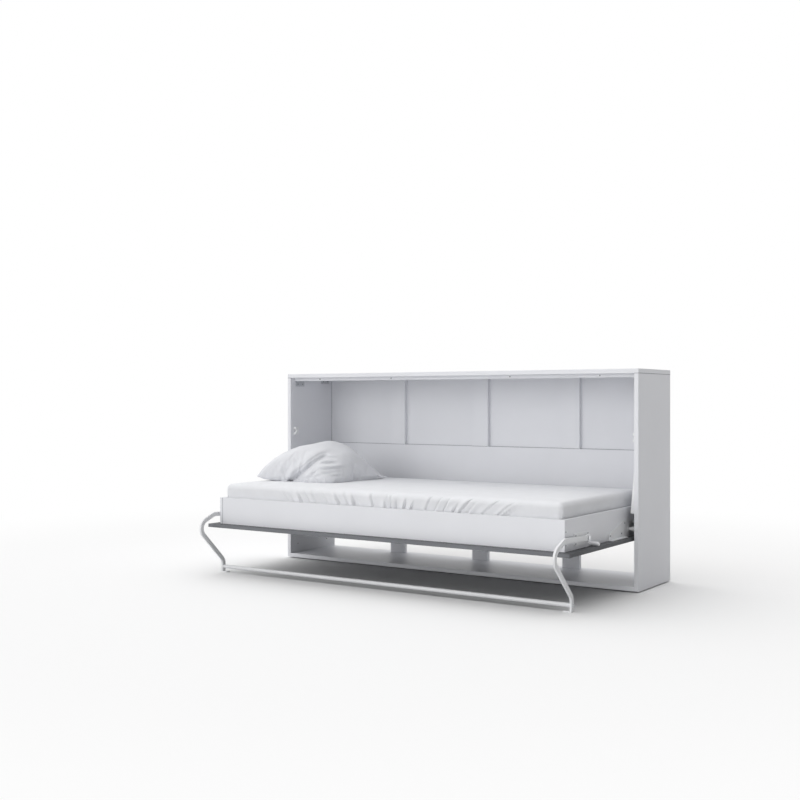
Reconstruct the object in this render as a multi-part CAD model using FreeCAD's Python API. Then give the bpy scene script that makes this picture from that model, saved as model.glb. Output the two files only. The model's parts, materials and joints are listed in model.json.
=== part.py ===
import FreeCAD, Part
import math
import os

# A horizontal single wall bed, stored open with its leg frame on the floor.
# X runs along the bed, Y towards the wall, Z up; the origin is the middle of the footprint on the floor.
# Depths below are measured back from the cabinet's front plane, so what stands in front is negative.

# Mattress and bed box
MATTRESS_LENGTH = 2000.0
MATTRESS_WIDTH = 900.0
MATTRESS_HEIGHT = 171.0
MATTRESS_GAP = 2.0
MATTRESS_CROWN = 9.0
MATTRESS_EDGE = 42.0
MATTRESS_LIP = 16.0
MATTRESS_DRAW = 3.0
BED_BOARD = 18.0
BED_SIDE_HEIGHT = 140.0
BOX_BEHIND_PIVOT = 230.0
BOX_SCREW_RISES = (28.0, 87.0)
DOOR_BOARD = 18.0
DOOR_LIP = 45.0
DOOR_SIDE_GAP = 6.0
DOOR_TOP_GAP = 6.0
DOOR_SWING_GAP = 4.0
DOOR_BACK_GAP = 10.0
DOOR_FOOT_LIP = 8.0
DOOR_EDGE_ROUND = 1.5

# Cabinet
CABINET_DEPTH = 428.0
CABINET_BOARD = 22.0
END_GAP = 53.0
GLIDE_HEIGHT = 6.0
GLIDE_RADIUS = 20.0
GLIDE_INSET = 60.0
BOARD_ROUND = 1.0
TOP_RAIL_SETBACK = 36.0
TOP_RAIL_DEPTH = 100.0
TOP_RAIL_BOARD = 18.0
TOP_RAIL_SCREW_SHARES = (0.09, 0.325, 0.675, 0.91)
BACK_RAIL_GAP = 7.0
POST_WIDTH = 100.0
POST_COUNT = 3
BACK_BOARD_TOP = 670.0
BACK_BOARD_HEIGHT = 415.0
BACK_SHEET = 3.0
BACK_SHEET_LAP = 20.0
WALL_RAIL_HEIGHT = 100.0
WALL_HOLE_RADIUS = 4.0
WALL_HOLE_SPACING_X = 1600.0
WALL_HOLE_SPACING_Z = 50.0
BRACKET_LENGTH = 80.0
BRACKET_LEG = 32.0
BRACKET_WALL = 2.0
BRACKET_BACK_GAP = 4.0
CAP_RADIUS = 6.0
CAP_HEIGHT = 1.5
CAP_RISE = 50.0
CAP_FRONT_SETBACK = 66.0
CAP_BACK_GAP = 29.0

# Main pivot: plates reach ahead of it, behind it, above it and below it
PIVOT_DEPTH = 53.0
PIVOT_Z = 302.0
AXLE_RADIUS = 8.0
AXLE_COLLAR_RADIUS = 12.0
AXLE_COLLAR_LENGTH = 28.0
AXLE_ROOT = 12.0
BUSH_WALL = 3.0
BUSH_FLANGE = 5.0
BUSH_FLANGE_HEIGHT = 3.0
CABINET_PLATE = 3.0
CABINET_PLATE_AHEAD = 45.0
CABINET_PLATE_BEHIND = 109.0
CABINET_PLATE_ABOVE = 74.0
CABINET_PLATE_BELOW = 66.0
CABINET_PLATE_CORNER = 12.0
BED_PLATE = 4.0
BED_PLATE_AHEAD = 240.0
BED_PLATE_NOSE = 30.0
BED_PLATE_SHOULDER_AHEAD = 73.0
BED_PLATE_BEHIND_CRANK = 37.0
BED_PLATE_OVER_CRANK = 15.0
BED_PLATE_SCREW_INSET = 12.0
BED_PLATE_SCREW_RISE = 22.0
BED_PLATE_MIDDLE_SCREW_AHEAD = 93.0
BED_PLATE_TOP_SCREW_AHEAD = 53.0
BED_FLANGE_LENGTH = 187.0
BED_FLANGE_WIDTH = 24.0
BED_FLANGE = 3.0

# Gas springs
SPRING_ANCHOR_BEHIND = 42.0
SPRING_ANCHOR_ABOVE = 258.0
CRANK_BACK = 52.0
CRANK_UP = 30.0
SPRING_SIDE_GAP = 0.5
SPRING_RADIUS = 10.0
SPRING_WALL = 1.6
SPRING_LENGTH = 152.0
SPRING_GLAND = 12.0
SPRING_NECK = 9.0
SPRING_ROD_RADIUS = 4.0
SPRING_END_PLAY = 2.0
SPRING_PISTON = 8.0
EYE_RADIUS = 10.0
EYE_NECK = 9.0
EYE_THICKNESS = 6.0
STUD_RADIUS = 5.0
STUD_HEAD_RADIUS = 8.0
STUD_HEAD = 2.0
STUD_FLANGE_RADIUS = 14.0
STUD_FLANGE = 3.0
COVER_SPRING_GAP = 1.5
COVER_WALL = 2.0
COVER_DOOR_GAP = 4.0
COVER_PLATE_GAP = 5.0
COVER_FOOT_BEHIND = 29.0
COVER_HEAD_AHEAD = 25.0
COVER_HEAD_BEHIND = 19.0
COVER_HEAD_ABOVE = 40.0

# Latch
PEG_SETBACK = 262.0
PEG_ABOVE_DOOR = 12.0
PEG_RADIUS = 9.0
PEG_TIP_GAP = 7.0
PEG_FLANGE_RADIUS = 11.5
PEG_FLANGE = 3.0
CATCH_WIDTH = 28.0
CATCH_HEIGHT = 46.0
CATCH_THICKNESS = 18.0
CATCH_LIP = 4.0
CATCH_CLEARANCE = 1.0

# Leg frame
LEG_WIDTH = 22.0
LEG_THICKNESS = 10.0
LEG_OFFSET = 9.0
LEG_PIVOT_SETBACK = 212.0
LEG_PIVOT_ABOVE_DOOR = 44.0
LEG_NECK_SETBACK = 12.0
LEG_NECK_RISE = 8.0
LEG_ELBOW_REACH = 119.0
LEG_ELBOW_BELOW_DOOR = 2.0
LEG_FOOT_SETBACK = 86.0
LEG_KNEE_Z = 64.0
LEG_NECK_RADIUS = 60.0
LEG_ELBOW_RADIUS = 48.0
LEG_KNEE_RADIUS = 45.0
LEG_EYE_RADIUS = 16.0
LEG_BOLT_RADIUS = 5.0
LEG_BOLT_HEAD_RADIUS = 11.0
LEG_BOLT_HEAD = 4.0
LEG_BRACKET = 4.0
LEG_BRACKET_LENGTH = 120.0
LEG_BRACKET_HEIGHT = 56.0
LEG_BRACKET_CORNER = 8.0
LEG_BRACKET_SCREW_INSET = 10.0
BAR_RADIUS = 10.0
BAR_WALL = 1.5
BAR_Z = 30.0
BAR_BOLT_RADIUS = 4.0
BAR_BOLT_HEAD_RADIUS = 8.0
BAR_BOLT_HEAD = 4.0
BAR_PLUG = 22.0
SHOE_HEIGHT = 6.0
SHOE_LENGTH = 30.0
SHOE_WIDTH = 42.0
SHOE_ROUND = 4.0

# Slatted base
BATTEN_WIDTH = 30.0
BATTEN_HEIGHT = 33.0
SLAT_COUNT = 13
SLAT_WIDTH = 68.0
SLAT_THICKNESS = 8.0
SLAT_BOW = 6.0
SLAT_END_MARGIN = 75.0
SLAT_CAP_WALL = 3.0
SLAT_CAP_LENGTH = 26.0

# Pillow: at distances from its rear end, its half width and height
PILLOW_END_INSET = 300.0
PILLOW_REAR_GAP = 195.0
PILLOW_STATIONS = (
    (525.0, 150.0, 30.0),
    (485.0, 258.0, 100.0),
    (375.0, 294.0, 190.0),
    (250.0, 300.0, 214.0),
    (125.0, 290.0, 174.0),
    (38.0, 244.0, 88.0),
    (0.0, 150.0, 28.0),
)
PILLOW_SEAM_SHARE = 0.3
PILLOW_FOOT_SHARE = 0.8

# Fasteners and fits
SCREW_RADIUS = 2.0
SCREW_LENGTH = 14.0
SCREW_HEAD_RADIUS = 4.5
SCREW_HEAD = 2.2
RUNNING_FIT = 0.05
SEAT_FIT = 0.05
SIDE_PLAY = 0.3
SOFT_GAP = 0.3

# Levels
FLOOR_TOP = GLIDE_HEIGHT + CABINET_BOARD
DOOR_BOTTOM = PIVOT_Z - PIVOT_DEPTH
DOOR_TOP = DOOR_BOTTOM + DOOR_BOARD
BED_TOP = DOOR_TOP + BED_SIDE_HEIGHT
SLAT_LEVEL = DOOR_TOP + BATTEN_HEIGHT
SLAT_TOP = SLAT_LEVEL + SLAT_CAP_WALL + SLAT_BOW + SLAT_THICKNESS
MATTRESS_BOTTOM = SLAT_TOP + SOFT_GAP
MATTRESS_TOP = MATTRESS_BOTTOM + MATTRESS_HEIGHT

# Half lengths along X
BOX_IN = MATTRESS_LENGTH / 2 + MATTRESS_GAP
BOX_OUT = BOX_IN + BED_BOARD
SIDE_IN = BOX_OUT + END_GAP
SIDE_OUT = SIDE_IN + CABINET_BOARD
DOOR_END = SIDE_IN - CABINET_PLATE - DOOR_SIDE_GAP
LEG_IN = BOX_OUT + LEG_OFFSET
LEG_OUT = LEG_IN + LEG_THICKNESS
SPRING_X = SIDE_IN - STUD_FLANGE - SPRING_SIDE_GAP - SPRING_RADIUS

# Depths: the door's foot swings just clear of the floor panel and stays clear of the back
BACK_REAR = CABINET_DEPTH - CABINET_BOARD - BACK_RAIL_GAP - BACK_SHEET
BACK_SETBACK = BACK_REAR - CABINET_BOARD
DOOR_SWING = PIVOT_Z - FLOOR_TOP - DOOR_SWING_GAP
DOOR_FOOT_REACH = math.sqrt(DOOR_SWING ** 2 - PIVOT_DEPTH ** 2)
DOOR_REAR = min(PIVOT_DEPTH + DOOR_FOOT_REACH, BACK_SETBACK - DOOR_BACK_GAP)
BOX_REAR = min(PIVOT_DEPTH + BOX_BEHIND_PIVOT, DOOR_REAR - DOOR_FOOT_LIP)
BOX_FRONT = BOX_REAR - MATTRESS_WIDTH - 2 * MATTRESS_GAP - 2 * BED_BOARD
DOOR_FRONT = BOX_FRONT - DOOR_LIP

# The closed door stands just under the roof
ROOF = PIVOT_Z + PIVOT_DEPTH - DOOR_FRONT + DOOR_TOP_GAP
CABINET_HEIGHT = ROOF + CABINET_BOARD

# Hinge plates, springs and latch, in depth and height
CABINET_PLATE_DEPTHS = (PIVOT_DEPTH - CABINET_PLATE_AHEAD, PIVOT_DEPTH + CABINET_PLATE_BEHIND)
CABINET_PLATE_ZS = (PIVOT_Z - CABINET_PLATE_BELOW, PIVOT_Z + CABINET_PLATE_ABOVE)
CRANK_OPEN = (PIVOT_DEPTH + CRANK_BACK, PIVOT_Z + CRANK_UP)
CRANK_SHUT = (PIVOT_DEPTH + CRANK_UP, PIVOT_Z - CRANK_BACK)
SPRING_ANCHOR = (PIVOT_DEPTH + SPRING_ANCHOR_BEHIND, PIVOT_Z + SPRING_ANCHOR_ABOVE)
BED_PLATE_DEPTHS = (PIVOT_DEPTH - BED_PLATE_AHEAD, CRANK_OPEN[0] + BED_PLATE_BEHIND_CRANK)
BED_PLATE_TOP = CRANK_OPEN[1] + BED_PLATE_OVER_CRANK
PEG_PLACE = (BOX_FRONT + PEG_SETBACK, DOOR_TOP + PEG_ABOVE_DOOR)

# The leg's centre line: pivot, neck over the door's edge, elbow in front of it, knee and foot
LEG_PIVOT = (BOX_FRONT + LEG_PIVOT_SETBACK, DOOR_TOP + LEG_PIVOT_ABOVE_DOOR)
LEG_FOOT_DEPTH = DOOR_FRONT + LEG_FOOT_SETBACK
LEG_POINTS = (
    LEG_PIVOT,
    (DOOR_FRONT + LEG_NECK_SETBACK, LEG_PIVOT[1] + LEG_NECK_RISE),
    (DOOR_FRONT - LEG_ELBOW_REACH, DOOR_TOP - LEG_ELBOW_BELOW_DOOR),
    (LEG_FOOT_DEPTH, LEG_KNEE_Z),
    (LEG_FOOT_DEPTH, SHOE_HEIGHT),
)
LEG_RADII = (LEG_NECK_RADIUS, LEG_ELBOW_RADIUS, LEG_KNEE_RADIUS)


def corner_arc(before, corner, after, radius):
    """Start, middle, end and centre of the arc that rounds a corner of a path."""
    b = FreeCAD.Vector(corner[0], corner[1], 0)
    u = (FreeCAD.Vector(before[0], before[1], 0) - b).normalize()
    w = (FreeCAD.Vector(after[0], after[1], 0) - b).normalize()
    half = u.getAngle(w) / 2
    bisector = (u + w).normalize()
    centre = b + bisector * (radius / math.sin(half))
    start = b + u * (radius / math.tan(half))
    end = b + w * (radius / math.tan(half))
    middle = centre - bisector * radius
    return start, middle, end, centre


LEG_ARCS = [
    corner_arc(LEG_POINTS[i], LEG_POINTS[i + 1], LEG_POINTS[i + 2], LEG_RADII[i])
    for i in range(len(LEG_RADII))
]
ELBOW_CENTRE = LEG_ARCS[1][3]
LEG_REACH = LEG_ELBOW_RADIUS + LEG_WIDTH / 2 - ELBOW_CENTRE.x
FRONT_Y = (LEG_REACH - CABINET_DEPTH) / 2

parts = {}


def at(x, depth, z):
    return FreeCAD.Vector(x, FRONT_Y + depth, z)


def block(xs, depths, zs):
    corner = at(xs[0], depths[0], zs[0])
    return Part.makeBox(xs[1] - xs[0], depths[1] - depths[0], zs[1] - zs[0], corner)


def rod(radius, xs, depth, z):
    return Part.makeCylinder(radius, xs[1] - xs[0], at(xs[0], depth, z), FreeCAD.Vector(1, 0, 0))


def upright(radius, x, depth, zs):
    return Part.makeCylinder(radius, zs[1] - zs[0], at(x, depth, zs[0]))


def prism(outline, xs):
    """A polygon of (depth, z) points drawn out along X."""
    points = [at(xs[0], depth, z) for depth, z in outline]
    points.append(points[0])
    return Part.Face(Part.makePolygon(points)).extrude(FreeCAD.Vector(xs[1] - xs[0], 0, 0))


def stepped(steps, depth, z):
    """A turned piece along X from (radius, from x, to x) steps."""
    solid = rod(steps[0][0], steps[0][1:], depth, z)
    for radius, start, end in steps[1:]:
        solid = solid.fuse(rod(radius, (start, end), depth, z))
    return solid.removeSplitter()


def rounded(start, corner, end):
    """An arc from start to end that rounds off the corner between them."""
    chord = (start + end) / 2
    return Part.Arc(start, chord + (corner - chord) * (math.sqrt(2) - 1), end)


def mirrored(shape):
    return shape.mirror(FreeCAD.Vector(0, 0, 0), FreeCAD.Vector(1, 0, 0))


def both_sides(name, shape):
    parts[name + "_right"] = shape
    parts[name + "_left"] = mirrored(shape)


def pair(shapes):
    """One group with the given right-hand pieces and their left-hand mirrors."""
    return Part.makeCompound(list(shapes) + [mirrored(shape) for shape in shapes])


def soften(shape, radius, axis):
    """Round the edges that run along one axis."""
    edges = [e for e in shape.Edges if abs(abs(e.tangentAt(e.FirstParameter).dot(axis)) - 1) < 1e-6]
    return shape.makeFillet(radius, edges)


def screws(places, x, inward, sunk=0.0):
    """Screws with heads on a face at x, or sunk into it, and shanks pointing inward along X."""
    made = []
    seat = x + inward * sunk
    for depth, z in places:
        head = sorted((seat, seat - inward * SCREW_HEAD))
        shank = sorted((seat, seat + inward * SCREW_LENGTH))
        made.append(stepped([(SCREW_HEAD_RADIUS, *head), (SCREW_RADIUS, *shank)], depth, z))
    return made


def drilled(shape, places, xs, radius=SCREW_RADIUS + SEAT_FIT):
    for depth, z in places:
        shape = shape.cut(rod(radius, xs, depth, z))
    return shape


def leg_outline():
    """The flat leg's outline: its centre line offset to both sides."""
    half = LEG_WIDTH / 2
    sides = []
    for sign in (1, -1):
        edges = []
        first = FreeCAD.Vector(LEG_POINTS[0][0], LEG_POINTS[0][1], 0)
        heading = (LEG_ARCS[0][0] - first).normalize()
        here = first + FreeCAD.Vector(-heading.y, heading.x, 0) * half * sign
        for (start, middle, end, centre), radius in zip(LEG_ARCS, LEG_RADII):
            turn = (middle - start).cross(end - middle).z
            offset = radius - half * sign * math.copysign(1, turn)
            ring = [centre + (p - centre).normalize() * offset for p in (start, middle, end)]
            edges.append(("line", here, ring[0]))
            edges.append(("arc", *ring))
            here = ring[2]
        last = FreeCAD.Vector(LEG_POINTS[-1][0], LEG_POINTS[-1][1], 0)
        heading = (last - LEG_ARCS[-1][2]).normalize()
        there = last + FreeCAD.Vector(-heading.y, heading.x, 0) * half * sign
        edges.append(("line", here, there))
        sides.append(edges)
    left, right = sides
    outline = left + [("line", left[-1][-1], right[-1][-1])]
    for kind, *points in reversed(right):
        outline.append((kind, *reversed(points)))
    outline.append(("line", right[0][1], left[0][1]))
    made = []
    for kind, *points in outline:
        placed = [at(LEG_IN, p.x, p.y) for p in points]
        curve = Part.LineSegment(*placed) if kind == "line" else Part.Arc(*placed)
        made.append(curve.toShape())
    return Part.Wire(made)


def cabinet():
    inside = (-SIDE_IN, SIDE_IN)
    outside = (-SIDE_OUT, SIDE_OUT)
    along = FreeCAD.Vector(1, 0, 0)
    depths = (0, CABINET_DEPTH)
    parts["top_panel"] = soften(block(outside, depths, (ROOF, CABINET_HEIGHT)), BOARD_ROUND, along)
    parts["bottom_panel"] = soften(block(outside, depths, (GLIDE_HEIGHT, FLOOR_TOP)), BOARD_ROUND, along)
    glides = []
    for x in (SIDE_OUT - GLIDE_INSET, 0, GLIDE_INSET - SIDE_OUT):
        for depth in (GLIDE_INSET, CABINET_DEPTH - GLIDE_INSET):
            glides.append(upright(GLIDE_RADIUS, x, depth, (0, GLIDE_HEIGHT)))
    parts["floor_glides"] = Part.makeCompound(glides)

    rail = block(inside, (TOP_RAIL_SETBACK, TOP_RAIL_SETBACK + TOP_RAIL_DEPTH), (ROOF - TOP_RAIL_BOARD, ROOF))
    rail_screws = []
    for share in TOP_RAIL_SCREW_SHARES:
        place = at((2 * share - 1) * SIDE_IN, TOP_RAIL_SETBACK, ROOF - TOP_RAIL_BOARD / 2)
        back = FreeCAD.Vector(0, 1, 0)
        head = Part.makeCylinder(SCREW_HEAD_RADIUS, SCREW_HEAD, place - back * SCREW_HEAD, back)
        shank = Part.makeCylinder(SCREW_RADIUS, SCREW_LENGTH, place, back)
        rail_screws.append(head.fuse(shank).removeSplitter())
        rail = rail.cut(Part.makeCylinder(SCREW_RADIUS + SEAT_FIT, SCREW_LENGTH + SEAT_FIT, place, back))
    parts["top_rail"] = rail
    parts["top_rail_screws"] = Part.makeCompound(rail_screws)

    back_depths = (BACK_SETBACK, BACK_REAR)
    board_foot = BACK_BOARD_TOP - BACK_BOARD_HEIGHT
    parts["lower_back_board"] = block(inside, back_depths, (board_foot, BACK_BOARD_TOP))
    bay = (2 * SIDE_IN - POST_COUNT * POST_WIDTH) / (POST_COUNT + 1)
    middles = [-SIDE_IN + number * (bay + POST_WIDTH) - POST_WIDTH / 2 for number in range(1, POST_COUNT + 1)]
    for number, x in enumerate(middles, 1):
        width = (x - POST_WIDTH / 2, x + POST_WIDTH / 2)
        parts[f"upper_post_{number}"] = block(width, back_depths, (BACK_BOARD_TOP, ROOF))
        parts[f"lower_post_{number}"] = block(width, back_depths, (FLOOR_TOP, board_foot))
    bounds = [-SIDE_IN] + middles + [SIDE_IN]
    for number in range(1, len(bounds)):
        width = (bounds[number - 1], bounds[number])
        sheet_depths = (BACK_REAR, BACK_REAR + BACK_SHEET)
        parts[f"back_sheet_{number}"] = block(width, sheet_depths, (BACK_BOARD_TOP - BACK_SHEET_LAP, ROOF))

    rail_depths = (CABINET_DEPTH - CABINET_BOARD, CABINET_DEPTH)
    wall_rail = block(inside, rail_depths, (ROOF - WALL_RAIL_HEIGHT, ROOF))
    for x in (-WALL_HOLE_SPACING_X / 2, WALL_HOLE_SPACING_X / 2):
        for rise in (-WALL_HOLE_SPACING_Z / 2, WALL_HOLE_SPACING_Z / 2):
            mouth = at(x, rail_depths[0], ROOF - WALL_RAIL_HEIGHT / 2 + rise)
            bore = Part.makeCylinder(WALL_HOLE_RADIUS, CABINET_BOARD, mouth, FreeCAD.Vector(0, 1, 0))
            wall_rail = wall_rail.cut(bore)
    parts["wall_rail"] = wall_rail

    brackets = []
    front_bracket = TOP_RAIL_SETBACK + (TOP_RAIL_DEPTH - BRACKET_LENGTH) / 2
    rear_bracket = BACK_SETBACK - BRACKET_BACK_GAP - BRACKET_LENGTH
    for depth, top in ((front_bracket, ROOF - TOP_RAIL_BOARD), (rear_bracket, ROOF)):
        reach = (depth, depth + BRACKET_LENGTH)
        flat = block((SIDE_IN - BRACKET_LEG, SIDE_IN), reach, (top - BRACKET_WALL, top))
        drop = block((SIDE_IN - BRACKET_WALL, SIDE_IN), reach, (top - BRACKET_LEG, top))
        brackets.append(flat.fuse(drop).removeSplitter())
    parts["corner_brackets"] = pair(brackets)
    cap_x = (SIDE_IN - CAP_HEIGHT, SIDE_IN)
    cap_depths = (CAP_FRONT_SETBACK, BACK_SETBACK - CAP_BACK_GAP)
    parts["side_caps"] = pair([rod(CAP_RADIUS, cap_x, depth, FLOOR_TOP + CAP_RISE) for depth in cap_depths])


def side_panels_and_hinges():
    along = FreeCAD.Vector(0, 0, 1)
    side = block((SIDE_IN, SIDE_OUT), (0, CABINET_DEPTH), (FLOOR_TOP, ROOF))
    side = soften(side, BOARD_ROUND, along)
    plate_x = (SIDE_IN - CABINET_PLATE, SIDE_IN)
    plate = block(plate_x, CABINET_PLATE_DEPTHS, CABINET_PLATE_ZS)
    plate = soften(plate, CABINET_PLATE_CORNER, FreeCAD.Vector(1, 0, 0))
    inset = CABINET_PLATE_CORNER
    places = [
        (depth, z)
        for depth in (CABINET_PLATE_DEPTHS[0] + inset, CABINET_PLATE_DEPTHS[1] - inset)
        for z in (CABINET_PLATE_ZS[0] + inset, CABINET_PLATE_ZS[1] - inset)
    ]
    root = (SIDE_IN - CABINET_PLATE, SIDE_IN + AXLE_ROOT)
    sunk = plate_x[0] + SCREW_HEAD
    side = drilled(side, places, (plate_x[0], sunk + SCREW_LENGTH + SEAT_FIT))
    plate = drilled(plate, places, plate_x)
    plate = drilled(plate, places, (plate_x[0], sunk), SCREW_HEAD_RADIUS + SEAT_FIT)
    side = side.cut(rod(AXLE_RADIUS + SEAT_FIT, (root[0], root[1] + SEAT_FIT), PIVOT_DEPTH, PIVOT_Z))
    plate = plate.cut(rod(AXLE_RADIUS + SEAT_FIT, plate_x, PIVOT_DEPTH, PIVOT_Z))
    both_sides("side_panel", side)
    both_sides("cabinet_hinge_plate", plate)
    parts["cabinet_hinge_screws"] = pair(screws(places, plate_x[0], 1, SCREW_HEAD))

    collar = (plate_x[0] - AXLE_COLLAR_LENGTH, plate_x[0])
    axle = stepped(
        [(AXLE_RADIUS, BOX_IN, root[1]), (AXLE_COLLAR_RADIUS, *collar)], PIVOT_DEPTH, PIVOT_Z
    )
    both_sides("pivot_axle", axle)

    catch_depth = PIVOT_DEPTH + PEG_PLACE[1] - PIVOT_Z
    catch_z = PIVOT_Z + PIVOT_DEPTH - PEG_PLACE[0]
    catch_x = (SIDE_IN - CATCH_THICKNESS, SIDE_IN)
    catch_front = catch_depth - CATCH_LIP
    catch = block(catch_x, (catch_front, catch_front + CATCH_WIDTH),
                  (catch_z - CATCH_HEIGHT / 2, catch_z + CATCH_HEIGHT / 2))
    catch = soften(catch, CATCH_LIP, FreeCAD.Vector(1, 0, 0))
    throat = PEG_RADIUS + CATCH_CLEARANCE
    catch = catch.cut(rod(throat, catch_x, catch_depth, catch_z))
    catch = catch.cut(block(catch_x, (catch_front, catch_depth), (catch_z - throat, catch_z + throat)))
    both_sides("latch_catch", catch)


def gas_springs():
    anchor = FreeCAD.Vector(0, *SPRING_ANCHOR)
    crank_open = FreeCAD.Vector(0, *CRANK_OPEN)
    crank_shut = FreeCAD.Vector(0, *CRANK_SHUT)
    line = crank_open - anchor
    axis = FreeCAD.Vector(line).normalize()
    eye_x = (SPRING_X - EYE_THICKNESS / 2, SPRING_X + EYE_THICKNESS / 2)
    middle = FreeCAD.Vector(SPRING_X, FRONT_Y, 0)

    def turned(radius, start, end):
        return Part.makeCylinder(radius, end - start, middle + anchor + axis * start, axis)

    barrel = (EYE_RADIUS + SPRING_NECK, SPRING_LENGTH)
    cylinder = turned(SPRING_RADIUS, *barrel)
    bore = (barrel[0] + SPRING_GLAND, barrel[1] - SPRING_GLAND)
    cylinder = cylinder.cut(turned(SPRING_RADIUS - SPRING_WALL, *bore))
    cylinder = cylinder.cut(turned(SPRING_ROD_RADIUS + RUNNING_FIT, bore[0], barrel[1]))
    cylinder = cylinder.fuse(turned(SPRING_ROD_RADIUS, EYE_NECK, barrel[0]))
    cylinder = cylinder.fuse(rod(EYE_RADIUS, eye_x, anchor.y, anchor.z))
    cylinder = cylinder.cut(rod(STUD_RADIUS + RUNNING_FIT, eye_x, anchor.y, anchor.z))
    both_sides("gas_spring_cylinder", cylinder.removeSplitter())

    shut = crank_shut - anchor
    stroke = shut.Length - line.Length
    top = bore[1] - SPRING_END_PLAY - stroke - SPRING_PISTON
    piston = turned(SPRING_RADIUS - SPRING_WALL - SIDE_PLAY, top, top + SPRING_PISTON)
    ram = turned(SPRING_ROD_RADIUS, top, line.Length - EYE_NECK).fuse(piston)
    ram = ram.fuse(rod(EYE_RADIUS, eye_x, crank_open.y, crank_open.z))
    both_sides("gas_spring_rod", ram.removeSplitter())

    stud = stepped(
        [
            (STUD_FLANGE_RADIUS, SIDE_IN - STUD_FLANGE, SIDE_IN),
            (STUD_RADIUS, eye_x[0] - SIDE_PLAY - STUD_HEAD, SIDE_IN - STUD_FLANGE),
            (STUD_HEAD_RADIUS, eye_x[0] - SIDE_PLAY - STUD_HEAD, eye_x[0] - SIDE_PLAY),
        ],
        anchor.y, anchor.z,
    )
    parts["spring_anchor_studs"] = pair([stud])
    crank_stud = stepped(
        [
            (STUD_HEAD_RADIUS, BOX_OUT + BED_PLATE, BOX_OUT + BED_PLATE + STUD_HEAD),
            (STUD_RADIUS, BOX_OUT + BED_PLATE, eye_x[0] - SIDE_PLAY),
        ],
        crank_open.y, crank_open.z,
    )
    parts["spring_crank_studs"] = pair([crank_stud])

    foot = (DOOR_BOARD + COVER_DOOR_GAP, anchor.y + COVER_FOOT_BEHIND)
    head = (anchor.y - COVER_HEAD_AHEAD, anchor.y + COVER_HEAD_BEHIND)
    low = CABINET_PLATE_ZS[1] + COVER_PLATE_GAP
    high = anchor.z + COVER_HEAD_ABOVE
    cover_x = (SPRING_X - SPRING_RADIUS - COVER_SPRING_GAP - COVER_WALL, SIDE_IN)
    cover = prism([(foot[0], low), (foot[1], low), (head[1], high), (head[0], high)], cover_x)
    wall = COVER_WALL
    room = [
        (foot[0] + wall, low), (foot[1] - wall, low),
        (head[1] - wall, high - wall), (head[0] + wall, high - wall),
    ]
    cover = cover.cut(prism(room, (cover_x[0] + wall, cover_x[1])))
    both_sides("spring_cover", cover)

    swing = math.degrees(line.getAngle(shut))
    print("spring swing deg", round(swing, 4), "stroke mm", round(stroke, 4))
    print("spring axis", [round(c, 6) for c in axis])


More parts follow.
